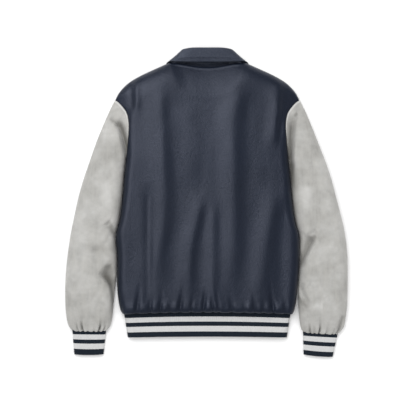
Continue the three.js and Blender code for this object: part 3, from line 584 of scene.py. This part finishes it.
# the crown falls to the height of the side, top and hem seams, each with its own roll
def backSurface(u, v):
    across = 2 * u - 1
    plan = bodyPlan(lambda half: across * half, v, backTopY)
    x, y, sideY = plan["x"], plan["y"], plan["sideY"]
    seam = body["seamHeight"] + seamGap / 2
    neckShare = smooth(body["neckHalf"] + back["neckOutside"] - plan["topX"], 0, back["neckReach"])
    topWidth, topPower = (lerp(*ends, neckShare) for ends in zip(back["shoulderRoll"], back["neckRoll"]))
    sideWidth, sidePower = (read(body["roll"], "y", column, sideY) for column in ("width", "power"))
    edges = [
        (plan["fromSide"], seam + body["armholeLift"] * armholeSwell(sideY), sideWidth, sidePower),
        (plan["fromTop"], lerp(seam, body["neckLoft"], neckShare), topWidth, topPower),
        (plan["fromHem"], bandTopHeight(across * band["halfTop"], band["halfTop"] + 1), *back["hemRoll"]),
    ]
    # what is added to a distance keeps the weight finite on the edge itself
    near = [1 / (distance + 0.5) ** 2 for distance, *_ in edges]
    edgeZ = sum(w * z for w, (_, z, *_) in zip(near, edges)) / sum(near)
    weights = [1 / (distance / width + 0.001) ** 3 for distance, _, width, _ in edges]
    power = sum(w * edge[3] for w, edge in zip(weights, edges)) / sum(weights)
    rise = 1 - (1 - roll(sum(weights) ** (-1 / 3), 1, power)) ** back["risePower"]
    crown = body["loft"] * (1 - back["sideFall"] * across**2)
    crown *= 1 - back["topFall"] * smooth(v, back["topFallFrom"], 1)
    gathers, lobe = gatherHem(x, plan["fromHem"])
    lobeRise, lobeAt, lobeWidth = back["lobe"]
    swollen = lobeRise + unevenness(x, y, *back["lobeUneven"])
    folds = foldHeight(back["folds"], x, y) + gathers
    folds += swollen * lobe * bell(plan["fromHem"] - lobeAt, lobeWidth)
    folds += sum(unevenness(x, y, *layer) for layer in back["uneven"])
    lipRise, lipAt, lipWidth = back["lip"]
    lip = lipRise * neckShare * bell(plan["fromTop"] - lipAt, lipWidth)
    hang = back["overhang"] * (1 - back["overhangShare"] * (1 - lobe))
    y = y - hang * hump(plan["fromHem"], back["overhangReach"])
    return x, y, lerp(edgeZ, crown, rise) + folds * rise + lip


backPanel = clothPiece("backPanel", back["columns"], back["rows"], leaning(backSurface), back["wall"])
dress(backPanel, "back", bodyLeather)
print("back laid out")

placket = {
    "half": 15, "share": 0.25, "snaps": 7, "snapHeight": 2.2,
    # the cloth lies level over a snap, and is down again further out
    "levelHalf": 8, "downHalf": 27, "fade": 42,
}
placket["columns"] = np.array([
    -placket["half"], -placket["levelHalf"], placket["levelHalf"], placket["half"], placket["downHalf"],
    placket["fade"],
], float)


# distance from the centre line, from behind the overlap out to the side
def placketReach(u, half):
    last = len(placket["columns"]) - 1
    near = np.interp(u / placket["share"] * last, np.arange(last + 1), placket["columns"])
    far = lerp(placket["columns"][-1], half, (u - placket["share"]) / (1 - placket["share"]))
    return np.where(u >= placket["share"], far, near)


def snapLift(x):
    level = 1 - smooth(np.abs(x), placket["levelHalf"], placket["downHalf"])
    return (placket["snapHeight"] + seamGap) * level


fronts = {
    "columns": np.concatenate([
        steps(24)[:-1] * placket["share"], lerp(placket["share"], 1, steps(48, (0, 0), (7, 0.06))),
    ]),
    "rows": steps(150, (5, 0.02), (5, 0.02)),
    "curl": 1.4,  # in seam heights
    "neckFade": 42,
    # the collar's leaf lies under the fronts round this place, out to these distances
    "leafX": 20, "leafY": 330, "leafNear": 145, "leafFar": 195, "leafRoom": 0.7,
}


def leafLift(x, y):
    distance = np.hypot(np.abs(x) - fronts["leafX"], y - fronts["leafY"])
    return (back["wall"] + fronts["leafRoom"]) * (1 - smooth(distance, fronts["leafNear"], fronts["leafFar"]))


# underlaps is true for the front that lies inside the other one
def frontSurface(u, v, underlaps):
    plan = bodyPlan(lambda half: placketReach(u, half), v, frontTopY)
    edge = body["seamHeight"] - seamGap / 2
    curl = fronts["curl"] * body["seamHeight"]
    neckFade = smooth(plan["topX"], body["neckHalf"] - fronts["neckFade"], body["neckHalf"])
    sideZ = edge * (1 - armholeSwell(plan["sideY"])) * (1 - roll(plan["fromSide"], curl))
    topZ = edge * neckFade * (1 - roll(plan["fromTop"], curl))
    lift = np.maximum(snapLift(plan["x"]), leafLift(plan["x"], plan["y"]))
    if underlaps:
        lift += (back["wall"] + seamGap) * (1 - smooth(plan["x"], placket["half"], placket["fade"]))
    return plan["x"], plan["y"], np.maximum(np.maximum(sideZ, topZ), lift)


def mirrored(surface):
    def flipped(u, v):
        x, *rest = surface(u, v)
        return (-x, *rest)
    return flipped


def makeFront(side):
    isRight = side == "right"

    def laid(u, v):
        return frontSurface(u, v, isRight)

    surface = leaning(laid if isRight else mirrored(laid))
    name = "front" + side.capitalize()
    front = clothPiece(name, fronts["columns"], fronts["rows"], surface, back["wall"], turned=isRight)
    dress(front, "front_" + side, bodyLeather)


makeFront("left")
makeFront("right")
print("fronts laid out")


# round a sleeve or a cuff: over the top, then back under it
def ringSteps(top, bottom):
    return np.concatenate([top[:-1] * overTop, lerp(overTop, 1, bottom)])


# whether a place of the ring is on top, and its share of the way from the outer to the inner edge
def ringPlace(u):
    onTop = u < overTop
    return onTop, np.where(onTop, u / overTop, 1 - (u - overTop) / (1 - overTop))


sleeves = {
    "wall": 2.2, "down": steps(170, (0, 0), (4, 0.01)),
    "around": ringSteps(steps(60, (7, 0.05), (7, 0.05)), steps(44, (6, 0.05), (6, 0.05))),
    # share of the length over which the cap's seam eases, and how much of the folds it takes away
    "capShare": 0.16, "capCalm": 0.5,
    "topRoll": 30, "foldRoll": 26, "underRoll": 1.2,  # the last in seam heights
    # the welt along the cap's seam: rise, place and width in shares of the length, and its roll; then the
    # painted highlight along that seam: strength, place and width in shares of the length
    "welt": (1.2, 0.008, 0.005), "weltRoll": 12, "seamLight": (0.7, 0.003, 0.004),
    # rise, size and seed, to which each side adds its own
    "uneven": [(1.2, 34, 0), (0.5, 13, 5)], "seed": {"left": 4, "right": 5},
    # how far a gather of the full depth sinks at the cuff, its reach, and the painted shade in it: how dark,
    # where and how wide it is
    "puckerFull": 7, "puckerSink": 8, "puckerReach": 7.8, "puckerShade": (0.5, 0.6, 1.1),
    "overhang": 8, "overhangReach": 4,
    # place along the cuff from its outer end, depth, width
    "leftPuckers": [
        (0.06, 2, 0.03), (0.21, 4, 0.02), (0.33, 8, 0.024), (0.47, 1.5, 0.04), (0.63, 2, 0.03),
        (0.765, 9, 0.022), (0.88, 5, 0.02),
    ],
    "rightPuckers": [
        (0.09, 5, 0.025), (0.2, 2, 0.02), (0.36, 3, 0.035), (0.55, 8, 0.02), (0.67, 2, 0.03),
        (0.79, 5, 0.022), (0.93, 2, 0.03),
    ],
    "left": table(
        "outX outY inX inY curve top",
        (240.3, 264.8, 212.4, 109.6, 1, 29), (254, 237, 212.6, 107, 0.78, 33),
        (270.9, 199.3, 213, 103.1, 0.52, 37), (289.1, 153.8, 213.5, 97, 0.28, 40),
        (306, 105.7, 215.2, 84, 0.1, 41), (321.6, 60.2, 217.5, 56, 0, 41),
        (334.6, 14.7, 220.5, 17.3, 0, 41), (344.5, -29.5, 227, -25.6, 0, 40),
        (351.5, -63, 232, -60.7, 0, 40), (356.2, -88, 240, -86, 0, 39),
        (360.1, -114, 237, -111.4, 0, 40), (364.5, -146.5, 234, -145.2, 0, 40),
        (368.2, -186.8, 236, -186.8, 0, 39), (369.7, -228.4, 241, -228.4, 0, 37),
        (369.2, -267.4, 244.5, -268.7, 0, 35), (366.6, -298.6, 247.5, -301.2, 0, 31),
        (361.4, -319.4, 253, -322, 0, 24), (352.5, -331.6, 262.2, -332.4, 0, 15),
    ),
    "right": table(
        "outX outY inX inY curve top",
        (240.3, 264.8, 212.4, 109.6, 1, 29), (254.3, 237, 212.6, 107, 0.78, 33),
        (270.4, 199.3, 213, 103.1, 0.52, 37), (288.6, 153.8, 213.5, 97, 0.28, 40),
        (307.1, 105.7, 215.2, 84, 0.1, 41), (322.4, 60.2, 217.5, 56, 0, 41),
        (334.6, 14.7, 220.5, 17.3, 0, 41), (346.1, -29.5, 225, -25.6, 0, 40),
        (354.9, -65.9, 229, -62, 0, 40), (359.1, -90.6, 232.5, -90.6, 0, 39),
        (362.2, -114, 239.2, -115.3, 0, 39), (364.8, -146.5, 242.5, -150.4, 0, 40),
        (365, -186.8, 238, -186.8, 0, 40), (364.8, -228.4, 236, -228.4, 0, 38),
        (363.5, -267.4, 236.4, -267.4, 0, 35), (359.8, -300, 238.7, -300, 0, 31),
        (354.6, -325, 242.3, -323.3, 0, 24), (341, -340.6, 248, -335.6, 0, 15),
    ),
    # X counts outwards from the centre of the body
    "leftFolds": [
        (((240, 206), (225, 190), (216, 157), (206, 112)), -26, 13, 5),
        (((258, 215), (238, 204), (229, 165), (217, 112)), 4, 6, 16),
        (((254, 222), (240, 210), (224, 208)), -9, 6, 6),
        (((262, -50), (248, -68), (236, -86)), -12, 9, 10),
        (((244, -90), (268, -112), (288, -124), (302, -124)), -5, 9, 8),
        (((282, -180), (264, -196), (248, -216), (243, -264), (242, -330)), -20, 22, 5),
        (((258, -162), (250, -178), (238, -196)), -8, 12, 12),
        (((330, 60), (300, -20), (280, -60)), 4, 22, 20),
        (((300, -110), (320, -160), (316, -240)), -4, 24, 22),
        (((342, -150), (346, -210), (338, -280)), 3.5, 16, 20),
        (((272, 180), (268, 110), (262, 40)), 2.5, 16, 18),
        (((302, -244), (286, -256), (276, -280)), -3.5, 12, 12),
    ],
    "rightFolds": [
        (((226, 226), (220, 185), (217, 120), (221, 40)), -24, 12, 5),
        (((240, 226), (233, 195), (228, 136), (226, 60)), 4, 6, 14),
        (((236, 238), (230, 226), (232, 214)), -6, 5, 5),
        (((278, -92), (256, -128), (238, -172)), -19, 22, 6),
        (((288, -84), (264, -130), (247, -170), (236, -200)), 6, 6, 18),
        (((284, -76), (270, -82), (258, -90)), -6, 7, 7),
        (((238, -206), (247, -240), (264, -272)), -11, 6, 8),
        (((256, -214), (276, -230), (294, -234)), -5, 12, 12),
        (((322, 40), (304, -30), (290, -80)), 4, 20, 22),
        (((336, -120), (318, -180), (296, -260)), -4, 20, 24),
        (((358, -290), (346, -320), (334, -342)), -7, 6, 5),
        (((266, -290), (284, -262), (306, -236)), 3.5, 12, 16),
    ],
    # painted shade in the creases and recesses, lighter where it is below zero
    "leftShades": [
        (((236, 212), (221, 186), (211, 150), (203, 100)), 0.9, 9, 5),
        (((256, 218), (244, 210), (232, 206)), 0.5, 5, 4),
        (((256, -58), (246, -74), (238, -94)), 0.6, 9, 5),
        (((226, -124), (270, -121), (312, -127)), 0.22, 8, 8),
        (((254, -156), (262, -190), (250, -228)), 0.5, 22, 9),
        (((278, -184), (256, -208), (247, -250), (243, -350)), 0.62, 12, 3),
        (((262, 170), (270, 130), (262, 90)), 0.14, 16, 16),
        (((270, 60), (258, 20), (248, -20)), -0.25, 14, 14),
        (((290, -250), (276, -262), (262, -256)), 0.16, 16, 16),
        (((330, -250), (330, -60), (300, 60)), -0.12, 16, 16),
    ],
    "rightShades": [
        (((222, 215), (217, 170), (218, 100), (222, 20)), 0.65, 8, 5),
        (((222, 110), (221, 70), (225, 20)), 0.5, 6, 5),
        (((235, 232), (230, 227), (226, 220)), 0.6, 4, 4),
        (((284, -78), (261, -122), (246, -154), (236, -182)), 0.55, 14, 4),
        (((284, -86), (270, -91), (254, -88)), 0.4, 5, 5),
        (((232, -238), (246, -259), (264, -276)), 0.5, 5, 4),
        (((272, -254), (286, -254), (300, -254)), 0.18, 13, 13),
        (((288, 150), (284, 132), (282, 110)), 0.14, 14, 14),
        (((300, -268), (290, -268), (270, -262)), -0.3, 12, 12),
        (((262, 50), (256, 10), (270, -40)), -0.2, 14, 14),
        (((352, -290), (346, -312), (336, -338)), 0.45, 5, 4),
    ],
}


def sleeveSurface(side, u, v):
    stations = {**sleeves[side], "at": np.linspace(0, 1, len(sleeves[side]["top"]))}
    station = {column: read(stations, "at", column, v) for column in stations if column != "at"}
    first, last = ({column: rows[end] for column, rows in stations.items()} for end in (0, -1))
    onTop, share = ringPlace(u)
    outX, outY, inY = station["outX"], station["outY"], station["inY"]
    lean = leanAt(inY) * (-1 if side == "left" else 1)
    inX = np.maximum(station["inX"], bodyHalf(inY) + lean + body["sleeveGap"])
    # the cap's seam follows the body's side, and its bow turns with the sleeve and fades down it
    seamY = lerp(first["outY"], first["inY"], share)
    bow = bodyHalf(seamY) + body["sleeveGap"] - lerp(first["outX"], first["inX"], share)
    bow = bow * station["curve"]
    turn = np.arctan2(inY - outY, inX - outX)
    turn -= math.atan2(first["inY"] - first["outY"], first["inX"] - first["outX"])
    x = outX + (inX - outX) * share + bow * np.cos(turn)
    y = outY + (inY - outY) * share + bow * np.sin(turn)
    fromEdge = np.hypot(inX - outX, inY - outY) * np.minimum(share, 1 - share)
    cap = 1 - smooth(v, 0, sleeves["capShare"])
    height = body["seamHeight"]
    seamTop = height + body["armholeLift"] * armholeSwell(seamY)
    freeTop = lerp(height, station["top"], roll(fromEdge, sleeves["topRoll"]))
    seamBottom = height * (1 - armholeSwell(seamY))
    freeBottom = height * (1 - roll(fromEdge, sleeves["underRoll"] * height))
    rise = roll(fromEdge, sleeves["foldRoll"])
    weltRise, weltAt, weltWidth = sleeves["welt"]
    folds = foldHeight(sleeves[side + "Folds"], x, y) * rise * (1 - sleeves["capCalm"] * cap)
    folds += weltRise * bell(v - weltAt, weltWidth) * roll(fromEdge, sleeves["weltRoll"])
    for unevenRise, size, seed in sleeves["uneven"]:
        folds += unevenness(x, y, unevenRise, size, seed + sleeves["seed"][side]) * rise * (1 - cap)
    fromCuff = np.abs(y - lerp(last["outY"], last["inY"], share))
    full = sleeves["puckerFull"]
    dip = sum(depth / full * bell(share - at, width) for at, depth, width in sleeves[side + "Puckers"])
    sink = sleeves["puckerSink"] * dip * hump(fromCuff, sleeves["puckerReach"]) * rise
    top = lerp(freeTop, seamTop, cap) + folds - sink
    hang = sleeves["overhang"] * (1 - np.minimum(dip, 1)) * hump(fromCuff, sleeves["overhangReach"])
    y = y - np.where(onTop, hang * rise, 0)
    dark, darkAt, darkWidth = sleeves["puckerShade"]
    light, lightAt, lightWidth = sleeves["seamLight"]
    # painted shade along the listed creases and recesses
    shade = foldHeight(sleeves[side + "Shades"], x, y)
    # painted shade in the cuff's gathers
    shade += dark * dip * bell(fromCuff / sleeves["puckerReach"] - darkAt, darkWidth)
    # a painted highlight along the cap's seam
    shade = np.minimum(shade, 1) - light * bell(v - lightAt, lightWidth)
    return x, y, np.where(onTop, top, lerp(freeBottom, seamBottom, cap)), np.where(onTop, shade, 0)


cuffs = {
    "loft": 14, "edgeHeight": 6, "topRoll": 15, "bow": 1.6, "inset": 1,
    "around": ringSteps(steps(150), steps(60, (4, 0.05), (4, 0.05))),
    "left": {"out": (346.3, -395.9), "in": (270.1, -395.9)},
    "right": {"out": (326.4, -402.4), "in": (250.6, -396.4)},
}


def ribHeight(share, count, fromSide):
    ribs = 0.5 * knit["ribDepth"] * (np.cos(2 * np.pi * share * count) - 1)
    return ribs * roll(fromSide, knit["ribFade"])


# the knit's free end is a fold, so it rounds off
def foldedEnd(v, depth):
    return knit["endRise"] * (1 - roll((1 - v) * depth, knit["endRoll"]))


def cuffSurface(side, u, v):
    onTop, share = ringPlace(u)
    sleeve, end = sleeves[side], cuffs[side]
    seamOut = (sleeve["outX"][-1] - cuffs["inset"], sleeve["outY"][-1] - seamGap)
    seamIn = (sleeve["inX"][-1] + cuffs["inset"], sleeve["inY"][-1] - seamGap)
    ribs = round(math.dist(seamOut, seamIn) / knit["rib"])
    outX, outY = lerp(seamOut[0], end["out"][0], v), lerp(seamOut[1], end["out"][1], v)
    inX, inY = lerp(seamIn[0], end["in"][0], v), lerp(seamIn[1], end["in"][1], v)
    x = lerp(outX, inX, share)
    y = lerp(outY, inY, share) - cuffs["bow"] * v * 4 * share * (1 - share)
    fromEdge = np.hypot(inX - outX, inY - outY) * np.minimum(share, 1 - share)
    folded = foldedEnd(v, knit["cuffDepth"])
    top = lerp(cuffs["edgeHeight"], cuffs["loft"], roll(fromEdge, cuffs["topRoll"]))
    top += ribHeight(share, ribs, fromEdge) - folded
    bottom = cuffs["edgeHeight"] * (1 - roll(fromEdge, knit["underRoll"])) + folded
    return x, y, np.where(onTop, top, bottom)


def makeSleeve(side):
    isLeft = side == "left"

    def place(surface):
        def laid(u, v):
            return surface(side, u, v)
        return mirrored(laid) if isLeft else laid

    sleeve = clothPiece(
        "sleeve" + side.capitalize(), sleeves["around"], sleeves["down"], place(sleeveSurface),
        sleeves["wall"], ring=True, turned=isLeft,
    )
    dress(sleeve, "sleeve_" + side, paleSuede)
    cuff = clothPiece(
        "cuff" + side.capitalize(), cuffs["around"], knit["down"], place(cuffSurface), knit["wall"],
        ring=True, turned=isLeft,
    )
    dress(cuff, "cuff_" + side, cuffKnit)


makeSleeve("left")
makeSleeve("right")
print("sleeves and cuffs laid out")

ribCount = round(2 * band["halfTop"] / knit["rib"])


# from one front end, round a side, over the top and round to the other front end
def bandSurface(u, v):
    under = band["under"]
    half = lerp(band["halfTop"], band["halfBottom"], v)
    onTop = (u >= under) & (u <= 1 - under)
    share = np.clip((u - under) / (1 - 2 * under), 0, 1)
    folded = foldedEnd(v, knit["hemDepth"])
    topX = half * (2 * share - 1)
    topZ = bandTopHeight(topX, half) + ribHeight(share, ribCount, half - np.abs(topX)) - folded
    first = u < under
    reach = placketReach(np.clip(np.where(first, u, 1 - u) / under, 0, 1), half)
    overlapped = 1 - smooth(reach, placket["half"], placket["fade"])
    lift = snapLift(reach) + np.where(first, 0, (knit["wall"] + seamGap) * overlapped)
    sideZ = band["edgeHeight"] * (1 - roll(half - np.abs(reach), knit["underRoll"]))
    x = np.where(onTop, topX, np.where(first, -reach, reach))
    across = x / band["halfTop"]
    y = hemLineY(across) - seamGap - v * (knit["hemDepth"] - band["sideRise"] * across**2)
    return x, y, np.where(onTop, topZ, np.maximum(sideZ, lift) + folded)


ends = steps(70, (0, 0), (6, 0.02))
overRibs = np.linspace(0, 1, ribCount * band["ribSteps"] + 1)
band["columns"] = np.concatenate([
    ends[:-1] * band["under"], lerp(band["under"], 1 - band["under"], overRibs),
    1 - ends[-2::-1] * band["under"],
])
hemBand = clothPiece("hemBand", band["columns"], knit["down"], bandSurface, knit["wall"], turned=True)
dress(hemBand, "hem_band", hemKnit)
print("hem band laid out")

collar = {
    "wall": 1.6, "columns": steps(240), "rows": steps(110, (0, 0), (10, 0.06)),
    # shares of the way from the neck seam to the leaf's edge where the stand ends and the leaf starts
    "stand": 0.4, "leaf": 0.6,
    "aside": (0.77, 0.64),  # the way that the side of the collar faces, in plan
    # behind the neck: shares of the half length where it ends, how far the stand sinks, and where
    "backEnds": (0.32, 0.5), "sunk": 11, "sunkAt": (0.3, 0.22), "sunkFrom": 0.06,
    # the raised edge and the stitched line beside it: rise, place and width
    "rim": (1.8, 3, 2), "stitching": (-1.3, 8.5, 1.8),
    "stations": table(
        "at seamX seamY seamZ foldX foldY foldZ edgeX edgeY edgeZ radius lean",
        (0, 0, 346, 11.6, 0, 396, 26, 0, 363.5, 28.5, 5, 90),
        (0.22, 45, 350.5, 11.5, 36, 396.2, 25.5, 48, 364, 28, 5, 90),
        (0.4, 78, 356.5, 11, 56.5, 395, 22.5, 79, 365, 26, 4.6, 78),
        (0.47, 88.5, 359, 10.4, 61.5, 393.4, 19.2, 90.5, 366, 22.5, 5, 48),
        (0.53, 92.5, 359.5, 9.6, 65, 390.4, 13.8, 98.5, 366.5, 15.5, 5, 5),
        (0.59, 93.5, 357.5, 9.2, 65.4, 386.6, 8.6, 104, 364.3, 7, 4.6, -38),
        (0.65, 91.5, 349, 9.2, 62.8, 383.5, 5.8, 107.8, 359, 0.8, 3.8, -72),
        (0.71, 88, 334, 9.2, 60, 373, 3.8, 109.3, 343, 0, 3.3, -87),
        (0.79, 80, 313, 8.9, 53.5, 348, 3.3, 108, 309, 0, 3.3, -90),
        (0.89, 52, 279, 8.9, 37, 315, 3.3, 93, 263, 0, 3.3, -90),
        (1, 18, 263, 11.3, 16, 289, 3.3, 62, 232, 0, 3.3, -90),
    ),
}


# up the inside of the stand, over the fold and down the leaf
def collarSurface(u, v):
    at, sign = np.abs(2 * u - 1), np.where(u < 0.5, -1, 1)
    station = {column: read(collar["stations"], "at", column, at) for column in collar["stations"]}
    point = {k: np.stack([station[k + axis] for axis in "XYZ"], axis=1) for k in ("seam", "fold", "edge")}
    lean, radius = np.radians(station["lean"]), station["radius"][:, None]
    asideX, asideY = collar["aside"]
    outward = np.stack([asideX * np.cos(lean), asideY * np.cos(lean), np.sin(lean)], axis=1)
    onward = point["fold"] - point["seam"]
    onward -= outward * (onward * outward).sum(axis=1, keepdims=True)
    onward /= np.linalg.norm(onward, axis=1, keepdims=True)
    stand, leaf = point["fold"] - outward * radius, point["fold"] + outward * radius
    v = v[:, None]
    fold = (v - collar["stand"]) / (collar["leaf"] - collar["stand"])
    turn = np.pi * (fold - 0.5)
    bend = point["fold"] + outward * radius * np.sin(turn) + onward * radius * np.cos(turn)
    rising = lerp(point["seam"], stand, v / collar["stand"])
    falling = lerp(leaf, point["edge"], (v - collar["leaf"]) / (1 - collar["leaf"]))
    place = np.where(v < collar["stand"], rising, np.where(v > collar["leaf"], falling, bend))
    v = v[:, 0]
    fromEdge = (1 - v) / (1 - collar["leaf"]) * np.linalg.norm(leaf - point["edge"], axis=1)
    onBack = 1 - smooth(at, *collar["backEnds"])
    sunkAt, sunkWidth = collar["sunkAt"]
    sunk = bell(v / collar["stand"] - sunkAt, sunkWidth) * smooth(v, 0, collar["sunkFrom"])
    seams = (collar["rim"], collar["stitching"])
    stitched = sum(rise * bell(fromEdge - inside, width) for rise, inside, width in seams)
    height = place[:, 2] - collar["sunk"] * onBack * sunk
    height += np.where(v > collar["leaf"], stitched * onBack, 0)
    return sign * place[:, 0], place[:, 1], np.maximum(height, 0)


collarPiece = clothPiece(
    "collarPiece", collar["columns"], collar["rows"], collarSurface, collar["wall"], turned=True,
)
dress(collarPiece, "collar", collarLeather)
print("collar laid out")

snap = {
    "profile": [(0, 0), (5.6, 0), (6.9, 0.3), (7.4, 0.9), (7.5, 1.5), (7.2, 2.0), (6.6, 2.2), (0, 2.2)],
    "turns": 48, "belowNeck": 22,
}
for n in range(placket["snaps"]):
    firstY, lastY = body["frontNeckY"] - snap["belowNeck"], body["hemSeamY"] - knit["hemDepth"] / 2
    y = lerp(firstY, lastY, n / (placket["snaps"] - 1))
    cap = bmesh.new()
    rim = [cap.verts.new((x * mm, y * mm, z * mm)) for x, z in snap["profile"]]
    edges = [cap.edges.new(pair) for pair in zip(rim, rim[1:])]
    bmesh.ops.spin(
        cap, geom=rim + edges, cent=(0, y * mm, 0), axis=(0, 0, 1), angle=math.tau, steps=snap["turns"],
        use_merge=True,
    )
    bmesh.ops.remove_doubles(cap, verts=cap.verts[:], dist=mergeDistance)
    bmesh.ops.recalc_face_normals(cap, faces=cap.faces[:])
    piece = newPiece(f"snapCap{n + 1}", cap)
    shadeSmooth(piece)
    dress(piece, f"snap_{n + 1}", snapSteel)
print("snaps set")

studio = {
    "width": 1081.6, "centre": (1.8, -15.2, 12), "distance": 4500, "sensor": 36,
    # in metres, as the lamps are
    "farthest": 20, "floor": 6,
    "floorClouds": (0.4, 0.2), "floorDark": (0.92, 0.92, 0.92, 1), "floorLight": (0.93, 0.93, 0.93, 1),
    # brightness of the air, of what gloss sees overhead, and the share of that at the horizon
    "ambient": 0.95, "gloss": 3.45, "horizon": 0.05,
    # the way to the softbox that gloss sees, and where its glow starts
    "softbox": (-0.37, 0.35, 0.86), "glowFrom": -0.81,
    # place, size and power
    "lamps": [((-0.75, 1.1, 2.45), 1.9, 40), ((1.7, -0.6, 2.2), 1.0, 4)],
}
ground = bmesh.new()
bmesh.ops.create_grid(ground, x_segments=1, y_segments=1, size=studio["floor"] / 2)
floor = newPiece("floor", ground)
floorPaint, tree, shader = newMaterial("floorPaint", {"Roughness": 0.9, "Specular IOR Level": 0.1})
place = addNode(tree, "TexCoord").outputs["Object"]
clouds = addClouds(tree, place, *studio["floorClouds"])
tone = addMix(tree, clouds, studio["floorDark"], studio["floorLight"])
tree.links.new(tone, shader.inputs["Base Color"])
floor.data.materials.append(floorPaint)

world = bpy.data.worlds.new("studioAir")
bpy.context.scene.world = world
world.use_nodes = True
sky = world.node_tree
paths = addNode(sky, "LightPath")
isGlossy = paths.outputs["Is Glossy Ray"]
level = addNode(sky, "MapRange", {"Value": isGlossy, "To Min": studio["ambient"], "To Max": studio["gloss"]})
incoming = addNode(sky, "NewGeometry").outputs["Incoming"]
towards = addNode(sky, "VectorMath", {0: incoming, 1: studio["softbox"]}, operation="DOT_PRODUCT")
overhead = addNode(sky, "MapRange", {
    "Value": towards.outputs["Value"], "From Min": studio["glowFrom"], "From Max": -1.0,
    "To Min": studio["horizon"], "To Max": 1.0,
})
dimmed = addMix(sky, isGlossy, (1, 1, 1, 1), overhead.outputs[0])
sky.links.new(addMath(sky, "MULTIPLY", level.outputs[0], dimmed), sky.nodes["Background"].inputs["Strength"])
sky.nodes["Background"].inputs["Color"].default_value = (1, 1, 1, 1)

for k, (place, size, power) in enumerate(studio["lamps"]):
    lamp = bpy.data.lights.new(f"lamp{k + 1}", "AREA")
    lamp.shape = "SQUARE"
    lamp.size = size
    lamp.energy = power
    holder = bpy.data.objects.new(lamp.name, lamp)
    holder.location = place
    holder.rotation_euler = (-Vector(place)).to_track_quat("-Z", "Y").to_euler()
    holder.visible_glossy = False
    bpy.context.collection.objects.link(holder)

lens = bpy.data.cameras.new("overhead")
lens.sensor_width = studio["sensor"]
lens.lens = studio["sensor"] * studio["distance"] / studio["width"]
lens.clip_end = studio["farthest"]
camera = bpy.data.objects.new("overhead", lens)
centreX, centreY, centreZ = studio["centre"]
camera.location = (centreX * mm, centreY * mm, (centreZ + studio["distance"]) * mm)
bpy.context.collection.objects.link(camera)
bpy.context.scene.camera = camera
bpy.context.scene.view_settings.view_transform = "Standard"
print("floor, light and camera set")
